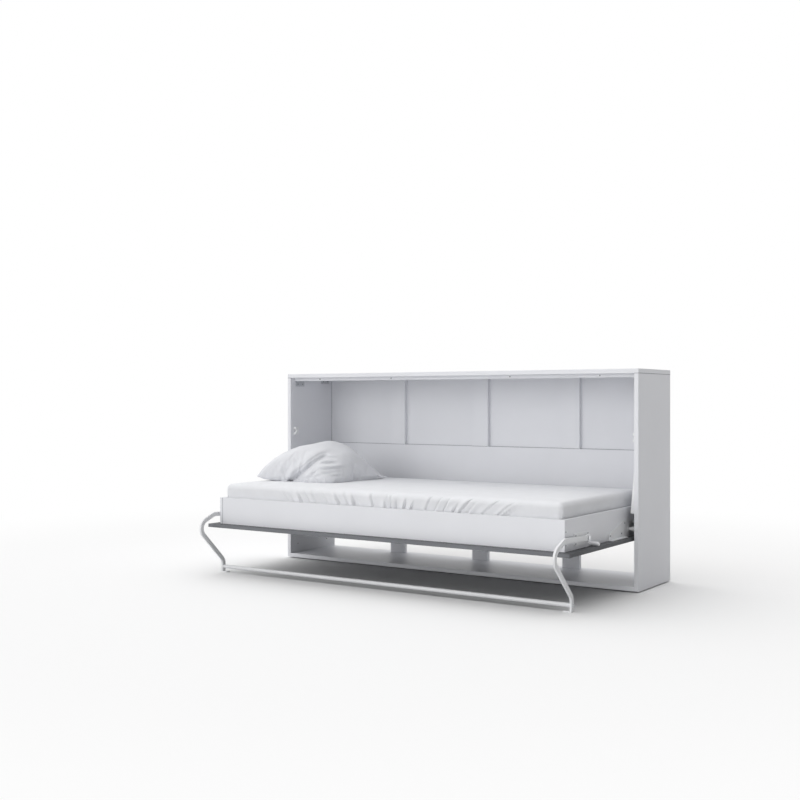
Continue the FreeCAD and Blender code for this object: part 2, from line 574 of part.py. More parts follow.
def bed_box():
    along = FreeCAD.Vector(1, 0, 0)
    door = block((-DOOR_END, DOOR_END), (DOOR_FRONT, DOOR_REAR), (DOOR_BOTTOM, DOOR_TOP))
    parts["door_panel"] = soften(door, DOOR_EDGE_ROUND, along)
    zs = (DOOR_TOP, BED_TOP)
    parts["front_panel"] = block((-BOX_IN, BOX_IN), (BOX_FRONT, BOX_FRONT + BED_BOARD), zs)
    parts["rear_panel"] = block((-BOX_IN, BOX_IN), (BOX_REAR - BED_BOARD, BOX_REAR), zs)
    end = block((BOX_IN, BOX_OUT), (BOX_FRONT, BOX_REAR), zs)

    front, rear = BED_PLATE_DEPTHS
    outline = [
        (front, DOOR_TOP), (rear, DOOR_TOP), (rear, BED_PLATE_TOP),
        (PIVOT_DEPTH - BED_PLATE_SHOULDER_AHEAD, BED_PLATE_TOP), (front, DOOR_TOP + BED_PLATE_NOSE),
    ]
    plate_x = (BOX_OUT, BOX_OUT + BED_PLATE)
    plate = prism(outline, plate_x)
    flange_x = (BOX_OUT, BOX_OUT + BED_FLANGE_WIDTH)
    flange = block(flange_x, (front, front + BED_FLANGE_LENGTH), (DOOR_TOP, DOOR_TOP + BED_FLANGE))
    plate = plate.fuse(flange).removeSplitter()
    inset = BED_PLATE_SCREW_INSET
    low_screw = DOOR_TOP + BED_PLATE_SCREW_RISE
    plate_places = [
        (front + inset, low_screw), (PIVOT_DEPTH - BED_PLATE_MIDDLE_SCREW_AHEAD, low_screw),
        (rear - inset, low_screw), (PIVOT_DEPTH - BED_PLATE_TOP_SCREW_AHEAD, BED_PLATE_TOP - inset),
    ]
    bush_radius = AXLE_RADIUS + RUNNING_FIT + BUSH_WALL
    bush_hole = rod(bush_radius + SEAT_FIT, (BOX_IN, plate_x[1]), PIVOT_DEPTH, PIVOT_Z)
    plate = drilled(plate, plate_places, plate_x).cut(bush_hole)
    both_sides("bed_hinge_plate", plate)
    bush_end = plate_x[1] + BUSH_FLANGE_HEIGHT
    bush = stepped(
        [(bush_radius, BOX_IN, plate_x[1]), (bush_radius + BUSH_FLANGE, plate_x[1], bush_end)],
        PIVOT_DEPTH, PIVOT_Z,
    )
    bush = bush.cut(rod(AXLE_RADIUS + RUNNING_FIT, (BOX_IN, bush_end), PIVOT_DEPTH, PIVOT_Z))
    parts["pivot_bushes"] = pair([bush])

    pivot_depth, pivot_z = LEG_PIVOT
    bracket_x = (BOX_OUT, BOX_OUT + LEG_BRACKET)
    bracket_depths = (pivot_depth - LEG_BRACKET_LENGTH, pivot_depth + LEG_BRACKET_HEIGHT / 2)
    bracket_zs = (pivot_z - LEG_BRACKET_HEIGHT / 2, pivot_z + LEG_BRACKET_HEIGHT / 2)
    bracket = soften(block(bracket_x, bracket_depths, bracket_zs), LEG_BRACKET_CORNER, along)
    inset = LEG_BRACKET_SCREW_INSET
    bracket_places = [
        (depth, z)
        for depth in (bracket_depths[0] + inset, bracket_depths[1] - inset)
        for z in (bracket_zs[0] + inset, bracket_zs[1] - inset)
    ]
    bolt_hole = rod(LEG_BOLT_RADIUS + SEAT_FIT, (BOX_IN, bracket_x[1]), pivot_depth, pivot_z)
    bracket = drilled(bracket, bracket_places, bracket_x).cut(bolt_hole)
    both_sides("leg_bracket", bracket)
    washer_x = (bracket_x[1], LEG_IN - SIDE_PLAY)
    washer = rod(LEG_BOLT_HEAD_RADIUS, washer_x, pivot_depth, pivot_z)
    washer = washer.cut(rod(LEG_BOLT_RADIUS + SEAT_FIT, washer_x, pivot_depth, pivot_z))
    head_x = (LEG_OUT + SIDE_PLAY, LEG_OUT + SIDE_PLAY + LEG_BOLT_HEAD)
    bolt_steps = [(LEG_BOLT_RADIUS, BOX_IN, head_x[0]), (LEG_BOLT_HEAD_RADIUS, *head_x)]
    bolt = stepped(bolt_steps, pivot_depth, pivot_z)
    parts["leg_pivot_bolts"] = pair([washer, bolt])

    joint_places = [
        (depth, z)
        for depth in (BOX_FRONT + BED_BOARD / 2, BOX_REAR - BED_BOARD / 2)
        for z in [DOOR_TOP + rise for rise in BOX_SCREW_RISES]
    ]
    shank = SCREW_LENGTH + SEAT_FIT
    end = drilled(end, plate_places, (plate_x[1] - shank, plate_x[1]))
    end = drilled(end, bracket_places, (bracket_x[1] - shank, bracket_x[1]))
    end = drilled(end, joint_places, (BOX_OUT - shank, BOX_OUT))
    both_sides("end_panel", end.cut(bush_hole).cut(bolt_hole))
    made = screws(plate_places, plate_x[1], -1) + screws(bracket_places, bracket_x[1], -1)
    parts["bed_screws"] = pair(made + screws(joint_places, BOX_OUT, -1))

    peg = stepped(
        [(PEG_FLANGE_RADIUS, BOX_OUT, BOX_OUT + PEG_FLANGE), (PEG_RADIUS, BOX_OUT, SIDE_IN - PEG_TIP_GAP)],
        *PEG_PLACE,
    )
    parts["latch_pegs"] = pair([peg])


def slatted_base():
    fronts = (BOX_FRONT + BED_BOARD, BOX_REAR - BED_BOARD)
    span = (-BOX_IN, BOX_IN)
    zs = (DOOR_TOP, SLAT_LEVEL)
    parts["batten_front"] = block(span, (fronts[0], fronts[0] + BATTEN_WIDTH), zs)
    parts["batten_rear"] = block(span, (fronts[1] - BATTEN_WIDTH, fronts[1]), zs)
    bed = SLAT_LEVEL + SLAT_CAP_WALL
    ends = (fronts[0] + SLAT_CAP_WALL + SEAT_FIT, fronts[1] - SLAT_CAP_WALL - SEAT_FIT)
    middle = (ends[0] + ends[1]) / 2
    slats = []
    caps = []
    pitch = 2 * (BOX_IN - SLAT_END_MARGIN) / (SLAT_COUNT - 1)
    for number in range(SLAT_COUNT):
        x = SLAT_END_MARGIN - BOX_IN + number * pitch - SLAT_WIDTH / 2
        low = [at(x, ends[0], bed), at(x, middle, bed + SLAT_BOW), at(x, ends[1], bed)]
        high = [point + FreeCAD.Vector(0, 0, SLAT_THICKNESS) for point in low]
        edges = [
            Part.Arc(*low).toShape(), Part.makeLine(low[2], high[2]),
            Part.Arc(*high).toShape(), Part.makeLine(low[0], high[0]),
        ]
        slats.append(Part.Face(Part.Wire(edges)).extrude(FreeCAD.Vector(SLAT_WIDTH, 0, 0)))
        wide = (x - SLAT_CAP_WALL, x + SLAT_WIDTH + SLAT_CAP_WALL)
        slot = (x - SEAT_FIT, x + SLAT_WIDTH + SEAT_FIT)
        for start, inward in ((fronts[0], 1), (fronts[1], -1)):
            reach = sorted((start, start + inward * SLAT_CAP_LENGTH))
            room = sorted((start + inward * SLAT_CAP_WALL, start + inward * SLAT_CAP_LENGTH))
            cap = block(wide, reach, (SLAT_LEVEL, bed + SLAT_THICKNESS))
            caps.append(cap.cut(block(slot, room, (bed, bed + SLAT_THICKNESS))))
    parts["slats"] = Part.makeCompound(slats)
    parts["slat_caps"] = Part.makeCompound(caps)


def leg_frame():
    leg = Part.Face(leg_outline()).extrude(FreeCAD.Vector(LEG_THICKNESS, 0, 0))
    pivot_depth, pivot_z = LEG_PIVOT
    span = (LEG_IN, LEG_OUT)
    leg = leg.fuse(rod(LEG_EYE_RADIUS, span, pivot_depth, pivot_z)).removeSplitter()
    leg = leg.cut(rod(LEG_BOLT_RADIUS + RUNNING_FIT, span, pivot_depth, pivot_z))
    leg = leg.cut(rod(BAR_BOLT_RADIUS + SEAT_FIT, span, LEG_FOOT_DEPTH, BAR_Z))
    both_sides("leg", leg)
    bar_x = (-LEG_IN, LEG_IN)
    bar = rod(BAR_RADIUS, bar_x, LEG_FOOT_DEPTH, BAR_Z)
    parts["leg_bar"] = bar.cut(rod(BAR_RADIUS - BAR_WALL, bar_x, LEG_FOOT_DEPTH, BAR_Z))
    bolt = stepped(
        [
            (BAR_RADIUS - BAR_WALL - SEAT_FIT, LEG_IN - BAR_PLUG, LEG_IN),
            (BAR_BOLT_RADIUS, LEG_IN, LEG_OUT),
            (BAR_BOLT_HEAD_RADIUS, LEG_OUT, LEG_OUT + BAR_BOLT_HEAD),
        ],
        LEG_FOOT_DEPTH, BAR_Z,
    )
    parts["bar_bolts"] = pair([bolt])
    shoe = block(
        (LEG_OUT - SHOE_WIDTH, LEG_OUT),
        (LEG_FOOT_DEPTH - SHOE_LENGTH / 2, LEG_FOOT_DEPTH + SHOE_LENGTH / 2),
        (0, SHOE_HEIGHT),
    )
    parts["leg_shoes"] = pair([soften(shoe, SHOE_ROUND, FreeCAD.Vector(0, 0, 1))])


def mattress():
    """Sections along X: flat foot, drawn-in flanks, soft edges and a crowned top."""
    middle = (BOX_FRONT + BOX_REAR) / 2
    edge = MATTRESS_EDGE
    ends = []
    for angle in (90, 45, 0):
        turn = math.radians(angle)
        ends.append((MATTRESS_LENGTH / 2 - edge * (1 - math.sin(turn)), edge * (1 - math.cos(turn))))
    stations = [(-x, inset) for x, inset in ends] + ends[::-1]
    sections = []
    for x, inset in stations:
        half = MATTRESS_WIDTH / 2 - inset
        low = MATTRESS_BOTTOM + MATTRESS_LIP * inset / edge
        high = MATTRESS_TOP - MATTRESS_CROWN - inset
        flank = half - MATTRESS_DRAW
        curves = []
        for side in (1, -1):
            foot = at(x, middle + side * (half - MATTRESS_LIP), low)
            hem = at(x, middle + side * flank, low + MATTRESS_LIP)
            waist = at(x, middle + side * half, (low + high) / 2)
            shoulder = at(x, middle + side * flank, high - edge)
            brow = at(x, middle + side * (half - edge), high)
            curves += [
                rounded(foot, at(x, middle + side * flank, low), hem),
                Part.Arc(hem, waist, shoulder),
                rounded(shoulder, at(x, middle + side * flank, high), brow),
            ]
        top = Part.Arc(curves[2].EndPoint, at(x, middle, high + MATTRESS_CROWN), curves[5].EndPoint)
        base = Part.LineSegment(curves[3].StartPoint, curves[0].StartPoint)
        loop = curves[:3] + [top] + curves[:2:-1] + [base]
        sections.append(Part.Wire([curve.toShape() for curve in loop]))
    parts["mattress"] = Part.makeLoft(sections, True, True)


def pillow():
    """Sections across the bed: a flat foot, drawn-in seams and a high crown that tapers to both ends."""
    middle = PILLOW_END_INSET - MATTRESS_LENGTH / 2
    rear = BOX_REAR - BED_BOARD - PILLOW_REAR_GAP
    low = MATTRESS_TOP + SOFT_GAP
    sections = []
    for distance, half, height in PILLOW_STATIONS:
        depth = rear - distance
        seams = [at(middle + side * half, depth, low + height * PILLOW_SEAM_SHARE) for side in (1, -1)]
        feet = [at(middle + side * half * PILLOW_FOOT_SHARE, depth, low) for side in (1, -1)]
        corners = [at(middle + side * half, depth, low) for side in (1, -1)]
        edges = [
            rounded(feet[0], corners[0], seams[0]),
            Part.Arc(seams[0], at(middle, depth, low + height), seams[1]),
            rounded(seams[1], corners[1], feet[1]),
            Part.LineSegment(feet[1], feet[0]),
        ]
        sections.append(Part.Wire([curve.toShape() for curve in edges]))
    parts["pillow"] = Part.makeLoft(sections, True, False)


cabinet()
side_panels_and_hinges()
gas_springs()
bed_box()
slatted_base()
leg_frame()
mattress()
pillow()

os.makedirs("parts", exist_ok=True)
for name, shape in parts.items():
    shape.exportStep(f"parts/{name}.step")
print(len(parts), "nodes; front plane y", round(FRONT_Y, 4), "; wall y", round(FRONT_Y + CABINET_DEPTH, 4))
print("main pivot", round(FRONT_Y + PIVOT_DEPTH, 4), PIVOT_Z)
print("leg pivot", round(FRONT_Y + LEG_PIVOT[0], 4), LEG_PIVOT[1])
print("spring anchor", round(FRONT_Y + SPRING_ANCHOR[0], 4), SPRING_ANCHOR[1])
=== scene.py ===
"""Looks of a horizontal wall bed around its CAD frame: finishes, bedding, small fittings and a studio."""
import json
import math

import bmesh
import bpy
import numpy as np
from bpy.props import FloatProperty, FloatVectorProperty, IntProperty, PointerProperty, StringProperty
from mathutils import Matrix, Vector


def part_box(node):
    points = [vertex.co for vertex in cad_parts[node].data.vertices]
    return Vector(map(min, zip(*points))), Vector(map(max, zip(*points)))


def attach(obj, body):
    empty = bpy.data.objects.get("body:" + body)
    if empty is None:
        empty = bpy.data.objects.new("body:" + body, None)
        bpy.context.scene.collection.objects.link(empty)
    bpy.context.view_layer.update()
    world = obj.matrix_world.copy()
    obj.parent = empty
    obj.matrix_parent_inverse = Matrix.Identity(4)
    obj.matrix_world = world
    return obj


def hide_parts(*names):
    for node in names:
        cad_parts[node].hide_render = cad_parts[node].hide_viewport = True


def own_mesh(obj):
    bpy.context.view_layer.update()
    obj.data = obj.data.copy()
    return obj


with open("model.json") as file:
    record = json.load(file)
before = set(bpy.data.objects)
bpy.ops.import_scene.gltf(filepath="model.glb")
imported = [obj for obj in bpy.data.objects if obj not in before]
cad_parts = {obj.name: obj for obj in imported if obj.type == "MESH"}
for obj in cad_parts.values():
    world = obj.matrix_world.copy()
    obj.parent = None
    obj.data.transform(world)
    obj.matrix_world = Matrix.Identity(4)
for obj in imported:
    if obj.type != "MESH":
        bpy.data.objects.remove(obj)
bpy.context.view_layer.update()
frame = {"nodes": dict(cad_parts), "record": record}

bl_info = {
    "name": "Wall bed looks",
    "version": (1, 0, 0),
    "blender": (4, 5, 0),
    "location": "View3D > Sidebar > Wall bed",
    "description": "Finishes, bedding and studio for a folding wall bed",
    "category": "Object",
}

SLOT_OF = {part["node"]: part["material_slot"] for part in frame["record"]["subparts"]}
MM = 0.001

MATTRESS_LOW, MATTRESS_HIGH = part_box("mattress")
PILLOW_LOW, PILLOW_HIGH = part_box("pillow")
FRONT_PANEL_LOW, FRONT_PANEL_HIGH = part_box("front_panel")
RAIL_TOP = FRONT_PANEL_HIGH.z
CABINET_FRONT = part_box("top_panel")[0].y
SIDE_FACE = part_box("side_panel_right")[0].x

# A joint is under 1 mm wide; the painted shadow in it is drawn 3 mm wide so that it shows.
JOINT_WIDTH = 3 * MM
JOINT_PROUD = 0.3 * MM
HEAD_RADIUS = 6 * MM
HEAD_RISE = 2 * MM
HEAD_CORNERS = 16
# A drive is a thin flat disc, dark with painted shade where a socket would be in shadow.
DRIVE_RADIUS = 3.4 * MM
DRIVE_RISE = 0.2 * MM
DRIVE_CORNERS = 6
BRACKET_WALL = 2 * MM
BRACKET_SCREW_INSET = 18 * MM
COVER_SCREW_X = 1060 * MM
COVER_SCREW_HEIGHT = 538 * MM
MERGE_DISTANCE = 0.01 * MM

# Most of a noise lies between these values.
NOISE_MIDDLE = (0.3, 0.7)
# A wave texture of scale one repeats after this length.
WAVE_LENGTH = math.tau / 20
WEAVE_SPACING = 18.85 * MM
# A face is turned to a side when its normal has more than this share of it.
TURNED = 0.5

EDGE_STEPS = 6
TOP_STEP = 40 * MM
WALL_STEP = 8 * MM
# High powers keep the mattress's crown flat up to its edges.
CROWN_POWER_ACROSS = 6
CROWN_POWER_ALONG = 16
# Low waves on the mattress's top: how tight along and across, and their height in millimetres.
SHEET_WAVES = ((2.1, 3.0, 1.2), (5.3, 1.6, 0.8), (8.7, 4.4, 0.5))
# The sheet is drawn in towards its hem, and tucked in around the top of the rail.
DRAW_IN = 5 * MM
DRAW_START = 0.2
TUCK_DEPTH = 4 * MM
TUCK_BELOW = 6 * MM
TUCK_ABOVE = 4 * MM
END_TUCK_BELOW = 4 * MM
END_TUCK_ABOVE = 36 * MM
END_TUCK_REACH = 120 * MM

# The sheet's gathers run straight down at their middle and close in towards it elsewhere.
GATHER_MIDDLE = 50 * MM
GATHER_ENDS = (-620 * MM, 840 * MM)
GATHER_STRONGEST = -50 * MM
GATHER_SPREAD = 650 * MM
GATHER_WEAKEST = 0.35
# Each gather has a soft flank, a sharp one and a slant, in millimetres, and most face one way.
GATHER_SOFT = (18, 34)
GATHER_SHARP = (3, 4.5)
GATHER_SLANT = (-14, 14)
GATHER_FACING = (-1, 1, 1)
# It starts at a share of the side's height and grows from before that place to after it.
GATHER_START = (-0.1, 0.5)
GATHER_BEFORE = 0.2
GATHER_AFTER = 0.5
GATHER_NEXT = (0.35, 1.65)
# It stands out by a share of its depth, with a groove beside it that is measured in sharp flanks.
GATHER_RISE = 0.6
GROOVE_DEPTH = 0.5
GROOVE_PLACE = 2.2
GROOVE_WIDTH = 1.2

# The pillow case before it is filled: its gap and rise in millimetres, and its spare room.
CASE_GAP = 4
CASE_RISE = 26
CASE_POWER = 4
CASE_ROOM = 1.12
# Each corner's side in X and in Y, and the share that it is drawn in.
PILLOW_CORNERS = ((1, -1, 0.5), (-1, -1, 0.15), (1, 1, 0.03), (-1, 1, 0.35))
CORNER_START = -0.2
SLOPE_SOFTNESS = 0.35
TIP_START = 0.55
SEAM_DROP = 0.6
SEAM_DROP_START = 0.7
UNDERSIDE_STEEPNESS = 3

# The pillow as it looks from the front right: millimetres right of its middle and above the mattress.
PILLOW_VIEW = math.radians(34)
PILLOW_SKYLINE = (
    (-396, 8), (-349, 26), (-286, 100), (-221, 147), (-165, 169), (-103, 190),
    (-63, 194), (-18, 205), (20, 213), (51, 216), (82, 213), (126, 203),
    (176, 181), (213, 150), (261, 106), (306, 63), (355, 16), (396, 6),
)
SKYLINE_BAND = 12.0
SKYLINE_STEPS = 100
SKYLINE_SMOOTHING = 11
SKYLINE_LIMITS = (0.3, 2.0)
# The main fold climbs from a small hollow at the mattress, and wrinkles fan out from its upper end.
PILLOW_HOLLOW = (-156, 6)
HOLLOW_SIZE = (15, 10)
HOLLOW_DEPTH = 1.1
PILLOW_FOLD = ((-145, 12), (-121, 30), (-84, 54), (-48, 81), (-24, 103), (-6, 117), (25, 131), (52, 137))
FOLD_DEGREE = 3
FOLD_ENDS = (-0.15, 0.02, 0.85, 1.12)
FOLD_LOSS = 0.5
# Across the fold, in millimetres below its line: it fades downwards, and a hem and a lip lie above it.
FOLD_FADE = 13
FOLD_TOP = -22
HEM_PLACE = -22
HEM_WIDTH = 5
HEM_SHARE = 0.13
LIP_PLACE = -36
LIP_WIDTH = 17
LIP_SHARE = 0.22
# Each wrinkle's start and end, and its depth in millimetres.
PILLOW_WRINKLES = (
    ((46, 134), (100, 124), 8.0),
    ((4, 103), (108, 106), 9.0),
    ((6, 72), (152, 78), 10.0),
    ((25, 54), (134, 58), 8.0),
    ((73, 41), (131, 38), 7.0),
    ((-84, 19), (37, 43), 3.0),
    ((-48, 38), (25, 62), 3.0),
)
WRINKLE_ENDS = (-0.15, 0.3, 0.6, 1.2)
WRINKLE_WIDTH = 7
CREST_PLACE = -14
CREST_WIDTH = 8
CREST_SHARE = 0.9
# Faces towards the front right, and upward ones in part, are pressed in and a little down.
PRESS_FACING = (-0.05, 0.25)
PRESS_UPWARD = 0.35
PRESS_DOWN = 0.25


class BedFinishes(bpy.types.PropertyGroup):
    """Colours of the finishes, as sRGB hex codes"""
    board_white: StringProperty(name="Board white", description="Melamine board", default="#E8E9ED")
    door_grey: StringProperty(name="Door grey", description="Graphite melamine", default="#77797D")
    beech_light: StringProperty(name="Beech, light", description="Early wood of a slat", default="#D9B98A")
    beech_dark: StringProperty(name="Beech, dark", description="Late wood of a slat", default="#B98F5C")
    hardboard: StringProperty(name="Hardboard", description="Bare rear of a back sheet", default="#9A7A58")
    joint_shadow_grey: StringProperty(name="Joint grey", description="Shadow between boards", default="#A8AAAF")
    coat_white: StringProperty(name="White coat", description="Powder coat of the legs", default="#E9EAEC")
    coat_black: StringProperty(name="Black coat", description="Powder coat of hinges", default="#232427")
    zinc: StringProperty(name="Zinc", description="Plating on screws and brackets", default="#D6D8DB")
    plastic_white: StringProperty(name="White plastic", description="Covers and catches", default="#EDEEEF")
    plastic_black: StringProperty(name="Black plastic", description="Glides, slat caps", default="#26272A")
    sheet_white: StringProperty(name="Sheet white", description="Cotton of the sheet", default="#E5E6E9")
    pillow_white: StringProperty(name="Pillow white", description="Cotton of the pillow", default="#DCDDE1")


class BeddingSizes(bpy.types.PropertyGroup):
    """Sizes of the mattress's sheet and of the pillow"""
    side_step: FloatProperty(
        name="Sheet step", description="Mesh step along the sheet's sides", default=3 * MM, unit="LENGTH")
    edge_round: FloatProperty(
        name="Edge round", description="Radius of the mattress's top edges", default=26 * MM, unit="LENGTH")
    crown: FloatProperty(
        name="Crown", description="Rise of the mattress's middle", default=9 * MM, unit="LENGTH")
    gather_pitch: FloatProperty(
        name="Gather pitch", description="Mean distance between gathers", default=56 * MM, unit="LENGTH")
    gather_depth: FloatProperty(
        name="Gather depth", description="Depth of the deepest gather", default=19 * MM, unit="LENGTH")
    gather_fan: FloatProperty(
        name="Gather fan", description="How far gathers lean towards the hem's middle", default=0.10)
    gather_fan_right: FloatProperty(
        name="Gather fan, right", description="The same for the gathers at the right", default=0.17)
    gather_seed: IntProperty(name="Gather seed", description="Seed for the gathers", default=7)
    pillow_step: FloatProperty(
        name="Pillow step", description="Mesh step of the pillow case", default=7 * MM, unit="LENGTH")
    pillow_pressure: FloatProperty(
        name="Pillow pressure", description="Swelling pressure of the filling", default=3.5)
    pillow_frames: IntProperty(name="Pillow frames", description="Frames of swelling", default=24)
    pillow_seam: FloatProperty(
        name="Pillow seam", description="Height of its seam", default=34 * MM, unit="LENGTH")
    pillow_tip: FloatProperty(
        name="Pillow tip", description="Height of its front left corner", default=9 * MM, unit="LENGTH")
    pillow_slope: FloatProperty(
        name="Pillow slope", description="How far its height falls towards its right end", default=0.78)
    pillow_peak: FloatProperty(
        name="Pillow peak", description="Above one, its shoulders are lower than its middle", default=1.1)
    fold_depth: FloatProperty(
        name="Fold depth", description="Depth of the pillow's main fold", default=40 * MM, unit="LENGTH")


class StageSettings(bpy.types.PropertyGroup):
    """Camera, floor and lights"""
    lens: FloatProperty(
        name="Lens", description="Focal length on a 36 mm sensor", default=50.0, unit="CAMERA")
    camera_x: FloatProperty(
        name="Camera X", description="Camera place along the bed", default=3.143, unit="LENGTH")
    camera_ahead: FloatProperty(
        name="Camera ahead", description="Ahead of the cabinet's front", default=5.082, unit="LENGTH")
    camera_height: FloatProperty(
        name="Camera height", description="Above the floor", default=0.9325, unit="LENGTH")
    camera_turn: FloatProperty(
        name="Camera turn", description="Turn to the left of straight ahead", default=math.radians(34.06),
        subtype="ANGLE")
    floor_grey: StringProperty(
        name="Floor grey", description="Floor as the object sees it", default="#D8D8D8")
    floor_gain: FloatProperty(
        name="Floor gain", description="Brightness of the floor as the camera sees it", default=0.96)
    floor_reach: FloatProperty(
        name="Floor reach", description="Half the floor's side", default=60.0, unit="LENGTH")
    fade_start: FloatProperty(
        name="Fade start", description="Where the floor starts to turn white", default=2.2, unit="LENGTH")
    fade_end: FloatProperty(
        name="Fade end", description="Where the floor is white", default=4.5, unit="LENGTH")
    sky_low: FloatProperty(
        name="Sky, low", description="Strength of the room's light at eye level", default=0.1)
    sky_high: FloatProperty(
        name="Sky, high", description="Strength of the room's light where it is brightest", default=1.52)
    sky_side: FloatVectorProperty(
        name="Sky side", description="Direction of the room's brightest light", default=(-0.46, 0.04, 0.89),
        subtype="DIRECTION")
    key: FloatProperty(name="Key", description="Strength of the soft lamp at the front", default=0.88)
    key_side: FloatVectorProperty(
        name="Key side", description="Where the key light comes from", default=(-0.22, -0.96, 0.16),
        subtype="DIRECTION")
    fill: FloatProperty(name="Fill", description="Strength of the soft lamp at the right", default=0.3)
    fill_side: FloatVectorProperty(
        name="Fill side", description="Where the fill light comes from", default=(0.74, -0.66, 0.13),
        subtype="DIRECTION")
    lamp_spread: FloatProperty(
        name="Lamp spread", description="Angle that each soft lamp fills", default=math.radians(40),
        subtype="ANGLE")


def linear(code):
    """Linear colour with alpha from an sRGB hex code."""
    channels = [int(code[i:i + 2], 16) / 255 for i in (1, 3, 5)]
    return [c / 12.92 if c <= 0.04045 else ((c + 0.055) / 1.055) ** 2.4 for c in channels] + [1.0]


def shade(code, share):
    """The hex colour's linear value, darkened or lightened by a share."""
    return [min(1.0, c * share) for c in linear(code)[:3]] + [1.0]


def add(tree, kind, inputs=None, **fields):
    """Add a node: fields are set on it, and each input takes a value or another node's output."""
    made = tree.nodes.new(kind)
    for name, value in fields.items():
        setattr(made, name, value)
    for name, value in (inputs or {}).items():
        if isinstance(value, bpy.types.NodeSocket):
            tree.links.new(value, made.inputs[name])
        else:
            made.inputs[name].default_value = value
    return made


def begin(name, roughness, metallic=0.0, specular=0.5):
    """A new material with its shader set, and object coordinates to draw patterns on."""
    material = bpy.data.materials.new(name)
    material.use_nodes = True
    tree = material.node_tree
    shader = tree.nodes["Principled BSDF"]
    shader.inputs["Roughness"].default_value = roughness
    shader.inputs["Metallic"].default_value = metallic
    shader.inputs["Specular IOR Level"].default_value = specular
    coords = add(tree, "ShaderNodeTexCoord").outputs["Object"]
    return material, tree, shader, coords


def cloudy(tree, coords, size_mm, low, high, detail=3.0, stretch=(1, 1, 1)):
    """A noise of a real size that wanders between two colours or two values."""
    scale = [share / (size_mm * MM) for share in stretch]
    place = add(tree, "ShaderNodeMapping", {"Vector": coords, "Scale": scale}).outputs[0]
    inputs = {"Vector": place, "Scale": 1.0, "Detail": detail}
    noise = add(tree, "ShaderNodeTexNoise", inputs).outputs["Fac"]
    if isinstance(low, (int, float)):
        inputs = {"Value": noise, "To Min": low, "To Max": high}
        return add(tree, "ShaderNodeMapRange", inputs).outputs["Result"]
    mix = add(tree, "ShaderNodeValToRGB", {"Fac": noise})
    for stop, position, colour in zip(mix.color_ramp.elements, NOISE_MIDDLE, (low, high)):
        stop.position = position
        stop.color = colour
    return mix.outputs["Color"]


def tinted(tree, coords, code, size_mm, dark, light, stretch=(1, 1, 1)):
    """A noise of a real size between a darker and a lighter shade of a hex colour."""
    return cloudy(tree, coords, size_mm, shade(code, dark), shade(code, light), stretch=stretch)


def relief(tree, shader, height, depth_mm, strength):
    """Raise the surface by a height from nought to one."""
    bump = add(tree, "ShaderNodeBump", {"Height": height, "Distance": depth_mm * MM, "Strength": strength})
    tree.links.new(bump.outputs["Normal"], shader.inputs["Normal"])


def feed(tree, shader, **sockets):
    """Link outputs to the shader's sockets, named with _ for each space."""
    for name, output in sockets.items():
        tree.links.new(output, shader.inputs[name.replace("_", " ")])


def either(tree, share, first, second):
    """The first colour where the share is nought, and the second where it is one."""
    both = add(tree, "ShaderNodeMix", data_type="RGBA")
    # This node's colours are its inputs 6 and 7, and its mixed colour is its output 2.
    for number, output in ((0, share), (6, first), (7, second)):
        tree.links.new(output, both.inputs[number])
    return both.outputs[2]


def ways_faced(tree):
    """How far the surface faces along X, Y and Z."""
    normal = add(tree, "ShaderNodeNewGeometry").outputs["True Normal"]
    return add(tree, "ShaderNodeSeparateXYZ", {"Vector": normal}).outputs


def white_melamine(finishes):
    """Melamine paper pressed on chipboard: an even satin white with a fine pearl grain."""
    material, tree, shader, coords = begin("white_melamine", roughness=0.4, specular=0.3)
    white = tinted(tree, coords, finishes.board_white, size_mm=260, dark=0.985, light=1.01)
    satin = cloudy(tree, coords, size_mm=60, low=0.36, high=0.46)
    feed(tree, shader, Base_Color=white, Roughness=satin)
    # The real pearl grain is under 1 mm; it is drawn at 3 mm so that it shows.
    pearl = cloudy(tree, coords, size_mm=3, low=0.0, high=1.0, detail=2.0)
    relief(tree, shader, pearl, depth_mm=0.2, strength=0.04)
    return material


def graphite_melamine(finishes):
    """Graphite melamine: matt, with faint long streaks, darker on its short edges, and with painted shade
    on its upward faces inside the bed.
    """
    material, tree, shader, coords = begin("graphite_melamine", roughness=0.5, specular=0.25)
    code = finishes.door_grey
    streaks = tinted(tree, coords, code, size_mm=14, dark=0.9, light=1.08, stretch=(0.04, 1, 1))
    # Short edges are drawn darker, and upward faces get painted shade for the bed box above them, in one
    # darker colour.
    dark_edges_and_painted_shade = tinted(tree, coords, code, size_mm=14, dark=0.42, light=0.52, stretch=(1, 0.04, 1))
    ways = ways_faced(tree)
    aside = add(tree, "ShaderNodeMath", {0: ways["X"]}, operation="ABSOLUTE").outputs[0]
    most = add(tree, "ShaderNodeMath", {0: aside, 1: ways["Z"]}, operation="MAXIMUM").outputs[0]
    dark = add(tree, "ShaderNodeMath", {0: most, 1: TURNED}, operation="GREATER_THAN").outputs[0]
    matt = cloudy(tree, coords, size_mm=40, low=0.45, high=0.58)
    feed(tree, shader, Base_Color=either(tree, dark, streaks, dark_edges_and_painted_shade), Roughness=matt)
    # The pressed grain is under 1 mm wide; it is drawn at 3 mm so that it shows.
    grain = cloudy(tree, coords, size_mm=3, low=0.0, high=1.0, stretch=(0.1, 1, 1))
    relief(tree, shader, grain, depth_mm=0.2, strength=0.15)
    return material


